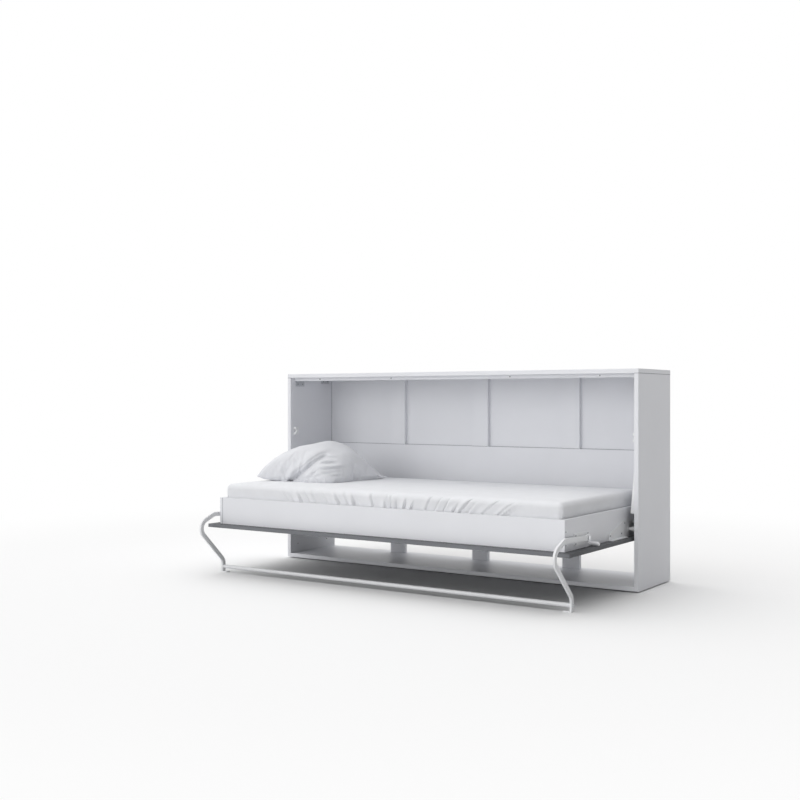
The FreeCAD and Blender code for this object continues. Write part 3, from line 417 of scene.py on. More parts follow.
def laminated_beech(finishes):
    """Steamed beech laminated into springy slats: warm, with grain along the slat and short dark flecks."""
    material, tree, shader, coords = begin("laminated_beech", roughness=0.48)
    dark, light = linear(finishes.beech_dark), linear(finishes.beech_light)
    grain = cloudy(tree, coords, size_mm=9, low=dark, high=light, detail=4.0, stretch=(1, 0.05, 1))
    planed = cloudy(tree, coords, size_mm=20, low=0.42, high=0.56, stretch=(1, 0.1, 1))
    feed(tree, shader, Base_Color=grain, Roughness=planed)
    # Beech's pores are about 0.1 mm wide; they are drawn at 3 mm so that they show.
    pores = cloudy(tree, coords, size_mm=3, low=0.0, high=1.0, stretch=(1, 0.08, 1))
    relief(tree, shader, pores, depth_mm=0.3, strength=0.2)
    return material


def lacquered_hardboard(finishes):
    """Thin hardboard: white lacquer to the room, bare brown fibre to the wall."""
    material, tree, shader, coords = begin("lacquered_hardboard", roughness=0.4, specular=0.3)
    fibre = tinted(tree, coords, finishes.hardboard, size_mm=4, dark=0.86, light=1.1)
    white = tinted(tree, coords, finishes.board_white, size_mm=260, dark=0.985, light=1.01)
    rear = ways_faced(tree)["Y"]
    bare = add(tree, "ShaderNodeMath", {0: rear, 1: TURNED}, operation="GREATER_THAN").outputs[0]
    satin = cloudy(tree, coords, size_mm=60, low=0.36, high=0.46)
    feed(tree, shader, Base_Color=either(tree, bare, white, fibre), Roughness=satin)
    return material


def powder_coat(name, code, roughness):
    """Powder coat baked on steel: satin, with the slight orange peel of the melted powder."""
    material, tree, shader, coords = begin(name, roughness)
    coat = tinted(tree, coords, code, size_mm=90, dark=0.96, light=1.03)
    satin = cloudy(tree, coords, size_mm=12, low=roughness - 0.05, high=roughness + 0.07)
    feed(tree, shader, Base_Color=coat, Roughness=satin)
    # Orange peel is about 1 mm across; it is drawn at 2.5 mm so that it shows.
    peel = cloudy(tree, coords, size_mm=2.5, low=0.0, high=1.0)
    relief(tree, shader, peel, depth_mm=0.15, strength=0.2)
    return material


def zinc_plate(finishes):
    """Bright zinc plate on steel: a cool grey metal with soft patches from the bath."""
    material, tree, shader, coords = begin("zinc_plate", roughness=0.34, metallic=1.0)
    patches = tinted(tree, coords, finishes.zinc, size_mm=7, dark=0.85, light=1.05)
    feed(tree, shader, Base_Color=patches, Roughness=cloudy(tree, coords, size_mm=5, low=0.26, high=0.44))
    return material


def moulded_plastic(name, code, roughness):
    """Injection-moulded plastic: an even colour and the fine spark-eroded texture of its mould."""
    material, tree, shader, coords = begin(name, roughness)
    even = tinted(tree, coords, code, size_mm=50, dark=0.98, light=1.01)
    satin = cloudy(tree, coords, size_mm=8, low=roughness - 0.05, high=roughness + 0.06)
    feed(tree, shader, Base_Color=even, Roughness=satin)
    # The eroded texture is about 0.2 mm; it is drawn at 1.5 mm so that it shows.
    eroded = cloudy(tree, coords, size_mm=1.5, low=0.0, high=1.0)
    relief(tree, shader, eroded, depth_mm=0.1, strength=0.15)
    return material


def cotton(name, code):
    """Percale cotton: a plain weave with a soft nap that catches light at the edges."""
    material, tree, shader, coords = begin(name, roughness=0.88)
    shader.inputs["Sheen Weight"].default_value = 0.18
    shader.inputs["Sheen Roughness"].default_value = 0.5
    feed(tree, shader, Base_Color=tinted(tree, coords, code, size_mm=70, dark=0.97, light=1.01))
    # Percale has about four threads a millimetre; the weave is drawn at 19 mm so that it shows.
    threads = []
    for direction in ("X", "Y"):
        inputs = {"Vector": coords, "Scale": WAVE_LENGTH / WEAVE_SPACING, "Distortion": 1.2, "Detail": 1.0}
        threads.append(add(tree, "ShaderNodeTexWave", inputs, bands_direction=direction).outputs["Fac"])
    inputs = {0: threads[0], 1: threads[1]}
    weave = add(tree, "ShaderNodeMath", inputs, operation="MULTIPLY").outputs[0]
    relief(tree, shader, weave, depth_mm=0.25, strength=0.22)
    return material


def painted_joint_shadow(finishes):
    """The shadow in a narrow joint between two boards, with a little dust in it."""
    material, tree, shader, coords = begin("painted_joint_shadow", roughness=0.8)
    painted_shadow_with_dust = tinted(tree, coords, finishes.joint_shadow_grey, size_mm=30, dark=0.85, light=1.1)
    feed(tree, shader, Base_Color=painted_shadow_with_dust)
    return material


def steel_shadow(finishes):
    """Painted shade for the inside of a screw's drive, drawn on a flat dark disc."""
    material, tree, shader, coords = begin("painted_drive_shade", roughness=0.6, metallic=1.0)
    feed(tree, shader, Base_Color=tinted(tree, coords, finishes.zinc, size_mm=2, dark=0.1, light=0.22))
    return material


FINISH_OF_SLOT = {
    "white_board": white_melamine,
    "dark_board": graphite_melamine,
    "beech": laminated_beech,
    "white_metal": lambda f: powder_coat("white_powder_coat", f.coat_white, roughness=0.38),
    "black_metal": lambda f: powder_coat("black_powder_coat", f.coat_black, roughness=0.45),
    "steel": zinc_plate,
    "white_plastic": lambda f: moulded_plastic("white_moulded_plastic", f.plastic_white, roughness=0.42),
    "black_plastic": lambda f: moulded_plastic("black_moulded_plastic", f.plastic_black, roughness=0.5),
    "sheet_fabric": lambda f: cotton("sheet_percale", f.sheet_white),
    "pillow_fabric": lambda f: cotton("pillow_percale", f.pillow_white),
}
FINISHED = {}


def finish_for(slot):
    """The slot's finish, made on its first use."""
    if slot not in FINISHED:
        FINISHED[slot] = FINISH_OF_SLOT[slot](bpy.context.scene.bed_finishes)
    return FINISHED[slot]


def dress(slots):
    """Give each CAD node of these slots its finish."""
    for name, slot in SLOT_OF.items():
        if slot in slots:
            mesh = frame["nodes"][name].data
            mesh.materials.clear()
            mesh.materials.append(finish_for(slot))


def piece_from(name, vertices, faces, material):
    """A smooth mesh object, linked to the scene."""
    mesh = bpy.data.meshes.new(name)
    mesh.from_pydata([tuple(v) for v in vertices], [], [tuple(f) for f in faces])
    mesh.materials.append(material)
    mesh.polygons.foreach_set("use_smooth", [True] * len(mesh.polygons))
    piece = bpy.data.objects.new(name, mesh)
    bpy.context.scene.collection.objects.link(piece)
    return piece


def places(mesh):
    """The places of a mesh's points, one row each."""
    co = np.empty(len(mesh.vertices) * 3)
    mesh.vertices.foreach_get("co", co)
    return co.reshape(-1, 3)


def put(mesh, co):
    """Move a mesh's points to new places."""
    mesh.vertices.foreach_set("co", np.ascontiguousarray(co, dtype=np.float32).ravel())
    mesh.update()


def smoothstep(low, high, value):
    """Nought below the low value and one above the high value, smooth between them."""
    t = np.clip((value - low) / (high - low), 0.0, 1.0)
    return t * t * (3 - 2 * t)


def fade(ends, value):
    """Rises between the first two of four values and falls between the last two."""
    return smoothstep(ends[0], ends[1], value) * (1 - smoothstep(ends[2], ends[3], value))


def hump(value, middle, width):
    """A smooth hump that is one at its middle."""
    return np.exp(-((value - middle) / width) ** 2)


def spaced(low, high, step, edge, edge_steps):
    """Places from low to high, fine within an edge distance of both ends."""
    near = [low + edge * k / edge_steps for k in range(edge_steps)]
    count = max(1, round((high - low - 2 * edge) / step))
    middle = [low + edge + (high - low - 2 * edge) * k / count for k in range(count + 1)]
    far = [high - edge + edge * k / edge_steps for k in range(1, edge_steps + 1)]
    return np.array(near + middle + far)


def box_skin(xs, ys, zs):
    """Vertices and faces of a closed box whose six sides are grids on the given places."""
    index = {}
    vertices = []
    faces = []

    def at(i, j, k):
        key = (i, j, k)
        if key not in index:
            index[key] = len(vertices)
            vertices.append((xs[i], ys[j], zs[k]))
        return index[key]

    nx, ny, nz = len(xs) - 1, len(ys) - 1, len(zs) - 1
    for i in range(nx):
        for j in range(ny):
            faces.append((at(i, j, nz), at(i + 1, j, nz), at(i + 1, j + 1, nz), at(i, j + 1, nz)))
            faces.append((at(i, j, 0), at(i, j + 1, 0), at(i + 1, j + 1, 0), at(i + 1, j, 0)))
        for k in range(nz):
            faces.append((at(i, 0, k), at(i + 1, 0, k), at(i + 1, 0, k + 1), at(i, 0, k + 1)))
            faces.append((at(i, ny, k), at(i, ny, k + 1), at(i + 1, ny, k + 1), at(i + 1, ny, k)))
    for j in range(ny):
        for k in range(nz):
            faces.append((at(0, j, k), at(0, j, k + 1), at(0, j + 1, k + 1), at(0, j + 1, k)))
            faces.append((at(nx, j, k), at(nx, j + 1, k), at(nx, j + 1, k + 1), at(nx, j, k + 1)))
    return np.array(vertices), faces


def round_box(co, low, high, radius):
    """Move the points of a box's skin so that its edges and corners are round."""
    inner_low, inner_high = low + radius, high - radius
    core = np.clip(co, inner_low, inner_high)
    away = co - core
    length = np.linalg.norm(away, axis=1, keepdims=True)
    length[length == 0] = 1.0
    return core + away / length * radius


def gathers(sizes, along, fall, rng):
    """Pleats of the sheet's side: each rises softly, drops sharply and leans to the hem's middle."""
    lean = np.where(along < GATHER_MIDDLE, sizes.gather_fan, sizes.gather_fan_right)
    fanned = GATHER_MIDDLE + (along - GATHER_MIDDLE) * (1 + lean * fall)
    folds = np.zeros_like(along)
    place = GATHER_ENDS[0]
    while place < GATHER_ENDS[1]:
        nearness = math.exp(-((place - GATHER_STRONGEST) / GATHER_SPREAD) ** 2)
        strength = GATHER_WEAKEST + (1 - GATHER_WEAKEST) * nearness
        depth = rng.uniform(GATHER_WEAKEST, 1.0) * strength * sizes.gather_depth
        soft, sharp = rng.uniform(*GATHER_SOFT) * MM, rng.uniform(*GATHER_SHARP) * MM
        start, slant = rng.uniform(*GATHER_START), rng.uniform(*GATHER_SLANT) * MM
        away = rng.choice(GATHER_FACING) * (fanned - place - slant * fall)
        rise = hump(away, 0, np.where(away < 0, soft, sharp))
        groove = hump(away, GROOVE_PLACE * sharp, GROOVE_WIDTH * sharp)
        grown = smoothstep(start - GATHER_BEFORE, start + GATHER_AFTER, fall)
        folds += depth * (GATHER_RISE * rise - GROOVE_DEPTH * groove) * grown
        place += sizes.gather_pitch * rng.uniform(*GATHER_NEXT)
    return folds


def fitted_sheet(sizes):
    """The mattress in its fitted sheet: crowned, soft-edged, gathered along both long sides."""
    low, high = np.array(MATTRESS_LOW), np.array(MATTRESS_HIGH)
    high = high - np.array((0, 0, sizes.crown))
    edge = sizes.edge_round
    xs = spaced(low[0], high[0], sizes.side_step, edge, EDGE_STEPS)
    ys = spaced(low[1], high[1], TOP_STEP, edge, EDGE_STEPS)
    zs = spaced(low[2], high[2], WALL_STEP, edge, EDGE_STEPS)
    co, faces = box_skin(xs, ys, zs)
    front, rear = np.isclose(co[:, 1], low[1]), np.isclose(co[:, 1], high[1])
    co = round_box(co, low, high, edge)
    middle = (low + high) / 2
    half = (high - low) / 2
    along, across = co[:, 0], (co[:, 1] - middle[1]) / half[1]
    top = smoothstep(RAIL_TOP, high[2], co[:, 2])
    full_across = 1 - across ** CROWN_POWER_ACROSS
    full_along = 1 - (along / half[0]) ** CROWN_POWER_ALONG
    co[:, 2] += sizes.crown * full_across * full_along * top
    rng = np.random.default_rng(sizes.gather_seed)
    for x_waves, y_waves, height in SHEET_WAVES:
        turn, swing = rng.uniform(0, math.tau, 2)
        ripple = np.sin(x_waves * along + turn) * np.sin(y_waves * across + swing)
        co[:, 2] += height * MM * ripple * top
    fall = np.clip((high[2] - co[:, 2]) / (high[2] - RAIL_TOP), 0, 1)
    tuck = smoothstep(RAIL_TOP - TUCK_BELOW, RAIL_TOP + TUCK_ABOVE, co[:, 2])
    drawn = DRAW_IN * smoothstep(DRAW_START, 1.0, fall)
    for wall, sign in ((front, -1), (rear, 1)):
        folds = gathers(sizes, along, fall, rng)
        outward = (folds - drawn) * tuck - TUCK_DEPTH * (1 - tuck)
        co[:, 1] += sign * outward * wall
    end_tuck = 1 - smoothstep(RAIL_TOP - END_TUCK_BELOW, RAIL_TOP + END_TUCK_ABOVE, co[:, 2])
    near_end = smoothstep(half[0] - END_TUCK_REACH, half[0], np.abs(along))
    co[:, 0] -= np.sign(along) * TUCK_DEPTH * end_tuck * near_end
    piece = piece_from("mattress_fitted_sheet", co, faces, finish_for("sheet_fabric"))
    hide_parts("mattress")
    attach(piece, "bed")


def swell(piece, pressure, frames):
    """Let pressure fill a closed cloth for some frames, and keep the shape it takes."""
    scene = bpy.context.scene
    modifier = piece.modifiers.new("filling", "CLOTH")
    settings = modifier.settings
    settings.quality = 6
    settings.mass = 0.25
    settings.tension_stiffness = 12
    settings.compression_stiffness = 12
    settings.shear_stiffness = 4
    settings.bending_stiffness = 0.3
    settings.use_pressure = True
    settings.uniform_pressure_force = pressure
    settings.effector_weights.gravity = 0
    modifier.point_cache.frame_start = 1
    modifier.point_cache.frame_end = frames
    for number in range(1, frames + 1):
        scene.frame_set(number)
    shaped = piece.evaluated_get(bpy.context.evaluated_depsgraph_get())
    co = places(shaped.data).copy()
    piece.modifiers.remove(modifier)
    scene.frame_set(1)
    put(piece.data, co)


def pillow_case(length, width, step):
    """Two square sheets sewn at their rim, parted a little in the middle, in the XY plane."""
    nx, ny = round(width / step), round(length / step)
    xs = np.linspace(-width / 2, width / 2, nx + 1)
    ys = np.linspace(-length / 2, length / 2, ny + 1)
    vertices = []
    faces = []
    index = {}

    def at(i, j, side):
        rim = i in (0, nx) or j in (0, ny)
        key = (i, j, 0 if rim else side)
        if key not in index:
            index[key] = len(vertices)
            bulge = (1 - (2 * i / nx - 1) ** CASE_POWER) * (1 - (2 * j / ny - 1) ** CASE_POWER)
            vertices.append((xs[i], ys[j], key[2] * (CASE_GAP + CASE_RISE * bulge) * MM))
        return index[key]

    for i in range(nx):
        for j in range(ny):
            faces.append((at(i, j, 1), at(i + 1, j, 1), at(i + 1, j + 1, 1), at(i, j + 1, 1)))
            faces.append((at(i, j, -1), at(i, j + 1, -1), at(i + 1, j + 1, -1), at(i + 1, j, -1)))
    return vertices, faces


def finer(piece):
    """Divide a mesh once, smoothly, and keep the result as its plain mesh."""
    soft = piece.modifiers.new("soft", "SUBSURF")
    soft.levels = soft.render_levels = 1
    made = bpy.data.meshes.new_from_object(piece.evaluated_get(bpy.context.evaluated_depsgraph_get()))
    piece.modifiers.remove(soft)
    piece.data = made


def normals(mesh):
    """The way that each of a mesh's points faces, one row each."""
    found = np.empty(len(mesh.vertices) * 3)
    mesh.vertex_normals.foreach_get("vector", found)
    return found.reshape(-1, 3)


def as_seen(co, middle, mattress_top):
    """Points as they look from the front right: millimetres right of the middle and above the mattress."""
    rightward = np.array((math.cos(PILLOW_VIEW), math.sin(PILLOW_VIEW), 0.0))
    return (co - middle) @ rightward / MM, (co[:, 2] - mattress_top) / MM


def crumple(mesh, middle, mattress_top, fold_depth):
    """Press the main fold and the small wrinkles into the side that faces the front right."""
    into = np.array((-math.sin(PILLOW_VIEW), math.cos(PILLOW_VIEW), 0.0))
    co = places(mesh)
    outward = normals(mesh)
    near = smoothstep(*PRESS_FACING, PRESS_UPWARD * outward[:, 2] - outward @ into)
    across, up = as_seen(co, middle, mattress_top)
    fold = np.array(PILLOW_FOLD, dtype=float)
    line = np.polynomial.Polynomial.fit(fold[:, 0], fold[:, 1], FOLD_DEGREE)
    share = (across - fold[0, 0]) / (fold[-1, 0] - fold[0, 0])
    below = (line(across) - up) / np.sqrt(1 + line.deriv()(across) ** 2)
    fading = np.exp(-np.clip(below, 0, None) / FOLD_FADE)
    roll = np.where(below > 0, fading, smoothstep(FOLD_TOP, 0, below))
    roll = roll * (1 - FOLD_LOSS * np.clip(share, 0, 1))
    lip = LIP_SHARE * hump(below, LIP_PLACE, LIP_WIDTH)
    hem = HEM_SHARE * hump(below, HEM_PLACE, HEM_WIDTH)
    press = (roll - lip + hem) * fold_depth * fade(FOLD_ENDS, share)
    hollow = hump(across, PILLOW_HOLLOW[0], HOLLOW_SIZE[0]) * hump(up, PILLOW_HOLLOW[1], HOLLOW_SIZE[1])
    press += HOLLOW_DEPTH * fold_depth * hollow
    for start, end, depth in PILLOW_WRINKLES:
        run = np.array(end, dtype=float) - np.array(start, dtype=float)
        length = np.linalg.norm(run)
        run = run / length
        along = (across - start[0]) * run[0] + (up - start[1]) * run[1]
        aside = (across - start[0]) * run[1] - (up - start[1]) * run[0]
        crease = hump(aside, 0, WRINKLE_WIDTH) - CREST_SHARE * hump(aside, CREST_PLACE, CREST_WIDTH)
        press += depth * MM * crease * fade(WRINKLE_ENDS, along / length)
    away = into - np.array((0.0, 0.0, PRESS_DOWN))
    put(mesh, co + np.outer(press * near, away))


def tame_corners(u, v):
    """Draw a square's corners in smoothly: the front right one is roundest, the rear right one sharp."""
    share = np.zeros_like(u)
    for u_side, v_side, pull in PILLOW_CORNERS:
        share += pull * smoothstep(CORNER_START, 1.0, (u_side * u + v_side * v) / 2)
    return u * np.sqrt(1 - share * v ** 2), v * np.sqrt(1 - share * u ** 2)


def meet_skyline(co, middle, mattress_top):
    """Scale the heights so that the outline from the front right follows the skyline."""
    across, up = as_seen(co, middle, mattress_top)
    places_across, wanted = np.array(PILLOW_SKYLINE, dtype=float).T
    found = [max(1.0, up[np.abs(across - at) < SKYLINE_BAND].max(initial=0.0)) for at in places_across]
    fine = np.linspace(places_across[0], places_across[-1], SKYLINE_STEPS)
    ratio = np.interp(fine, places_across, np.clip(wanted / np.array(found), *SKYLINE_LIMITS))
    spread = np.hanning(SKYLINE_SMOOTHING)
    ratio = np.pad(ratio, SKYLINE_SMOOTHING // 2, mode="edge")
    ratio = np.convolve(ratio, spread / spread.sum(), mode="valid")
    co[:, 2] = mattress_top + up * np.interp(across, fine, ratio) * MM
    return co


def pillow(sizes):
    """A plump pillow at the head of the bed, flat underneath, its corners down on the mattress."""
    low, high = np.array(PILLOW_LOW), np.array(PILLOW_HIGH)
    middle = (low + high) / 2
    span = high - low
    case = pillow_case(span[1] * CASE_ROOM, span[0] * CASE_ROOM, sizes.pillow_step)
    piece = piece_from("pillow_in_case", *case, finish_for("pillow_fabric"))
    swell(piece, sizes.pillow_pressure, sizes.pillow_frames)
    co = places(piece.data)
    unit = 2 * (co - (co.max(0) + co.min(0)) / 2) / (co.max(0) - co.min(0))
    rim = np.maximum(np.abs(unit[:, 0]), np.abs(unit[:, 1]))
    rightness = (unit[:, 0] + np.hypot(unit[:, 0], SLOPE_SOFTNESS)) / 2
    slope = 1 - sizes.pillow_slope * np.clip(rightness, 0, 1)
    raised = smoothstep(TIP_START, 1.0, -(unit[:, 0] + unit[:, 1]) / 2) * sizes.pillow_tip
    unit[:, 0], unit[:, 1] = tame_corners(unit[:, 0], unit[:, 1])
    seam = sizes.pillow_seam * (1 - SEAM_DROP * smoothstep(SEAM_DROP_START, 1.0, rim))
    above = slope * np.clip(unit[:, 2], 0, None) ** sizes.pillow_peak
    under = np.clip(unit[:, 2], None, 0)
    place = middle[:2] + span[:2] / 2 * unit[:, :2]
    underside = seam * np.maximum(0, 1 + UNDERSIDE_STEEPNESS * under)
    height = low[2] + above * (span[2] - seam) + underside
    co = meet_skyline(np.column_stack([place, height]), middle, low[2])
    co[:, 2] += raised
    put(piece.data, co)
    finer(piece)
    crumple(piece.data, middle, low[2], sizes.fold_depth)
    put(piece.data, np.clip(places(piece.data), low, high))
    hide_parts("pillow")
    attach(piece, "bed")
    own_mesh(piece)


def strips(name, body, boxes, material):
    """Thin closed strips of painted shadow along the joints of one body's boards, as one mesh."""
    vertices, faces = [], []
    for low, high in boxes:
        corners, sides = box_skin(*[(min(a, b), max(a, b)) for a, b in zip(low, high)])
        faces += [[number + len(vertices) for number in side] for side in sides]
        vertices += list(corners)
    piece = piece_from(name, vertices, faces, material)
    piece.data.polygons.foreach_set("use_smooth", [False] * len(faces))
    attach(piece, body)


def cabinet_joints(width, proud):
    """Where the back sheets and posts meet the lower board and the sides, and the top meets the sides."""
    sheet_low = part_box("back_sheet_1")[0]
    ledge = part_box("lower_back_board")[1].z
    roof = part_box("top_rail")[0].z
    inner, outer = -sheet_low.x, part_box("side_panel_right")[1].x
    top_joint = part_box("top_panel")[0].z
    front, rear = CABINET_FRONT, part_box("top_panel")[1].y
    depth = (sheet_low.y - proud, sheet_low.y)
    posts = [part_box("upper_post_%d" % number) for number in (1, 2, 3)]
    starts = [-inner] + [high.x for low, high in posts]
    ends = [low.x for low, high in posts] + [inner]
    boxes = [((a, depth[0], ledge), (b, depth[1], ledge + width)) for a, b in zip(starts, ends)]
    boxes += [((low.x, low.y - proud, ledge), (high.x, low.y, ledge + width)) for low, high in posts]
    for side in (-1, 1):
        boxes.append(((side * inner, depth[0], ledge + width), (side * (inner - width), depth[1], roof)))
        low, high = top_joint - width / 2, top_joint + width / 2
        boxes.append(((side * outer, front, low), (side * (outer + proud), rear, high)))
        boxes.append(((side * inner, front - proud, low), (side * outer, front, high)))
    return boxes


def bed_joints(width, proud):
    """The line down the front panel's left end, beside the end panel's front edge."""
    low, high = FRONT_PANEL_LOW, FRONT_PANEL_HIGH
    return [((low.x - width / 2, low.y - proud, low.z), (low.x + width / 2, low.y, high.z))]


def islands(node):
    """Lowest and highest corner of each separate solid in a CAD node."""
    form = bmesh.new()
    form.from_mesh(frame["nodes"][node].data)
    bmesh.ops.remove_doubles(form, verts=form.verts, dist=MERGE_DISTANCE)
    left = set(form.verts)
    found = []
    while left:
        group = [left.pop()]
        for vertex in group:
            for link in vertex.link_edges:
                other = link.other_vert(vertex)
                if other in left:
                    left.remove(other)
                    group.append(other)
        co = np.array([v.co for v in group])
        found.append((co.min(0), co.max(0)))
    form.free()
    return found


def round_tree(name, material, corners, radius, rise):
    """A short rod of some corners on each point, half sunk, turned to the point's facing."""
    tree = bpy.data.node_groups.new(name, "GeometryNodeTree")
    face = tree.interface
    face.new_socket("Geometry", in_out="INPUT", socket_type="NodeSocketGeometry")
    face.new_socket("Radius", in_out="INPUT", socket_type="NodeSocketFloat").default_value = radius
    face.new_socket("Rise", in_out="INPUT", socket_type="NodeSocketFloat").default_value = 2 * rise
    face.new_socket("Geometry", in_out="OUTPUT", socket_type="NodeSocketGeometry")
    group = add(tree, "NodeGroupInput").outputs
    inputs = {"Vertices": corners, "Radius": group["Radius"], "Depth": group["Rise"]}
    rod = add(tree, "GeometryNodeMeshCylinder", inputs).outputs["Mesh"]
    inputs = {"Name": "facing"}
    facing = add(tree, "GeometryNodeInputNamedAttribute", inputs, data_type="FLOAT_VECTOR").outputs[0]
    turn = add(tree, "FunctionNodeAlignRotationToVector", {"Vector": facing}, axis="Z").outputs[0]
    inputs = {"Points": group["Geometry"], "Instance": rod, "Rotation": turn}
    set_down = add(tree, "GeometryNodeInstanceOnPoints", inputs).outputs[0]
    whole = add(tree, "GeometryNodeRealizeInstances", {"Geometry": set_down}).outputs[0]
    painted = add(tree, "GeometryNodeSetMaterial", {"Geometry": whole, "Material": material}).outputs[0]
    add(tree, "NodeGroupOutput", {"Geometry": painted})
    return tree


def round_pieces(name, body, spots, tree):
    """One mesh of small round pieces for one body, each at a place with the way that it faces."""
    mesh = bpy.data.meshes.new(name + "_points")
    mesh.from_pydata([tuple(place) for place, facing in spots], [], [])
    attribute = mesh.attributes.new("facing", "FLOAT_VECTOR", "POINT")
    attribute.data.foreach_set("vector", [c for place, facing in spots for c in facing])
    points = bpy.data.objects.new(name + "_points", mesh)
    bpy.context.scene.collection.objects.link(points)
    points.modifiers.new("pieces", "NODES").node_group = tree
    shaped = points.evaluated_get(bpy.context.evaluated_depsgraph_get())
    made = bpy.data.meshes.new_from_object(shaped)
    bpy.data.objects.remove(points)
    piece = bpy.data.objects.new(name, made)
    bpy.context.scene.collection.objects.link(piece)
    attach(piece, body)


def bracket_spots():
    """Two screw places on the leg of each corner bracket that lies on a side panel."""
    spots = []
    for low, high in islands("corner_brackets"):
        side = math.copysign(1, low[0])
        leg_face = side * (SIDE_FACE - BRACKET_WALL)
        height = (low[2] + high[2]) / 2 - BRACKET_WALL
        for y in (low[1] + BRACKET_SCREW_INSET, high[1] - BRACKET_SCREW_INSET):
            spots.append((Vector((leg_face, y, height)), Vector((-side, 0, 0))))
    return spots


def cover_spots():
    """One screw place on the sloping front of each gas spring cover."""
    spots = []
    for side, node in ((-1, "spring_cover_left"), (1, "spring_cover_right")):
        start = Vector((side * COVER_SCREW_X, CABINET_FRONT, COVER_SCREW_HEIGHT))
        hit, place, facing = frame["nodes"][node].ray_cast(start, Vector((0, 1, 0)))[:3]
        if not hit:
            raise RuntimeError("no cover front for the screw on " + node)
        spots.append((place, facing))
    return spots


def head_spots(node, facing_of):
    """The middle of each screw's head face, with the way that it faces."""
    spots = []
    for low, high in islands(node):
        middle = (low + high) / 2
        facing = facing_of(middle)
        axis = int(np.argmax(np.abs(facing)))
        place = middle.copy()
        place[axis] = high[axis] if facing[axis] > 0 else low[axis]
        spots.append((place, facing))
    return spots


class WALLBED_OT_boards(bpy.types.Operator):
    """Finish the boards, slats and back sheets"""
    bl_idname = "wallbed.boards"
    bl_label = "Boards"

    def execute(self, context):
        dress(("white_board", "dark_board", "beech"))
        hardboard = lacquered_hardboard(context.scene.bed_finishes)
        for name, node in frame["nodes"].items():
            if name.startswith("back_sheet"):
                node.data.materials.clear()
                node.data.materials.append(hardboard)
        return {"FINISHED"}


class WALLBED_OT_joints(bpy.types.Operator):
    """Draw painted shadow in the narrow joints between the boards"""
    bl_idname = "wallbed.joints"
    bl_label = "Joints"

    def execute(self, context):
        # Grey strips laid proud on the boards are painted shadow where the joints are.
        material = painted_joint_shadow(context.scene.bed_finishes)
        strips("cabinet_joint_shadows", "cabinet", cabinet_joints(JOINT_WIDTH, JOINT_PROUD), material)
        strips("bed_joint_shadows", "bed", bed_joints(JOINT_WIDTH, JOINT_PROUD), material)
        return {"FINISHED"}


class WALLBED_OT_metalwork(bpy.types.Operator):
    """Finish the legs, hinges, springs and fasteners"""
    bl_idname = "wallbed.metalwork"
    bl_label = "Metalwork"

    def execute(self, context):
        dress(("white_metal", "black_metal", "steel"))
        return {"FINISHED"}


class WALLBED_OT_plastics(bpy.types.Operator):
    """Finish the covers, catches, shoes and glides"""
    bl_idname = "wallbed.plastics"
    bl_label = "Plastics"

    def execute(self, context):
        dress(("white_plastic", "black_plastic"))
        return {"FINISHED"}


class WALLBED_OT_mattress(bpy.types.Operator):
    """Lay the mattress in its fitted sheet"""
    bl_idname = "wallbed.mattress"
    bl_label = "Mattress"

    def execute(self, context):
        fitted_sheet(context.scene.bedding_sizes)
        return {"FINISHED"}


class WALLBED_OT_pillow(bpy.types.Operator):
    """Fill and place the pillow"""
    bl_idname = "wallbed.pillow"
    bl_label = "Pillow"

    def execute(self, context):
        pillow(context.scene.bedding_sizes)
        return {"FINISHED"}


class WALLBED_OT_screw_drives(bpy.types.Operator):
    """Add the small screw heads, and a dark disc of painted shade for the drive on every screw head and cap
    """
    bl_idname = "wallbed.screw_drives"
    bl_label = "Screw drives"

    def execute(self, context):
        # Each of these dark discs carries no recess and is painted shade.
        dark = steel_shadow(context.scene.bed_finishes)
        drive_shades = round_tree("screw_drives", dark, DRIVE_CORNERS, DRIVE_RADIUS, DRIVE_RISE)
        heads = round_tree("screw_heads", finish_for("steel"), HEAD_CORNERS, HEAD_RADIUS, HEAD_RISE)

        def from_side(middle):
            return Vector((-math.copysign(1, middle[0]), 0, 0))

        def from_end(middle):
            return Vector((math.copysign(1, middle[0]), 0, 0))

        added = bracket_spots() + cover_spots()
        round_pieces("cabinet_screw_heads", "cabinet", added, heads)
        cabinet = [(place + HEAD_RISE * facing, facing) for place, facing in added]
        cabinet += head_spots("top_rail_screws", lambda middle: Vector((0, -1, 0)))
        cabinet += head_spots("cabinet_hinge_screws", from_side)
        cabinet += head_spots("side_caps", from_side)
        round_pieces("cabinet_drive_shades", "cabinet", cabinet, drive_shades)
        round_pieces("bed_drive_shades", "bed", head_spots("bed_screws", from_end), drive_shades)
        return {"FINISHED"}


class WALLBED_OT_stage(bpy.types.Operator):
    """Set the floor, the lights and the camera"""
    bl_idname = "wallbed.stage"
    bl_label = "Stage"

    def execute(self, context):
        settings = context.scene.stage_settings
        floor = lay_floor(settings)
        light(settings, floor)
        aim_camera(settings)
        return {"FINISHED"}


def seen_directly(tree):
    """One on rays from the camera, mirrors and glass, and nought on the rays that light the object."""
    rays = add(tree, "ShaderNodeLightPath").outputs
    inputs = {0: rays["Is Camera Ray"], 1: rays["Is Glossy Ray"]}
    mirror = add(tree, "ShaderNodeMath", inputs, operation="MAXIMUM").outputs[0]
    inputs = {0: mirror, 1: rays["Is Transmission Ray"]}
    return add(tree, "ShaderNodeMath", inputs, operation="MAXIMUM").outputs[0]


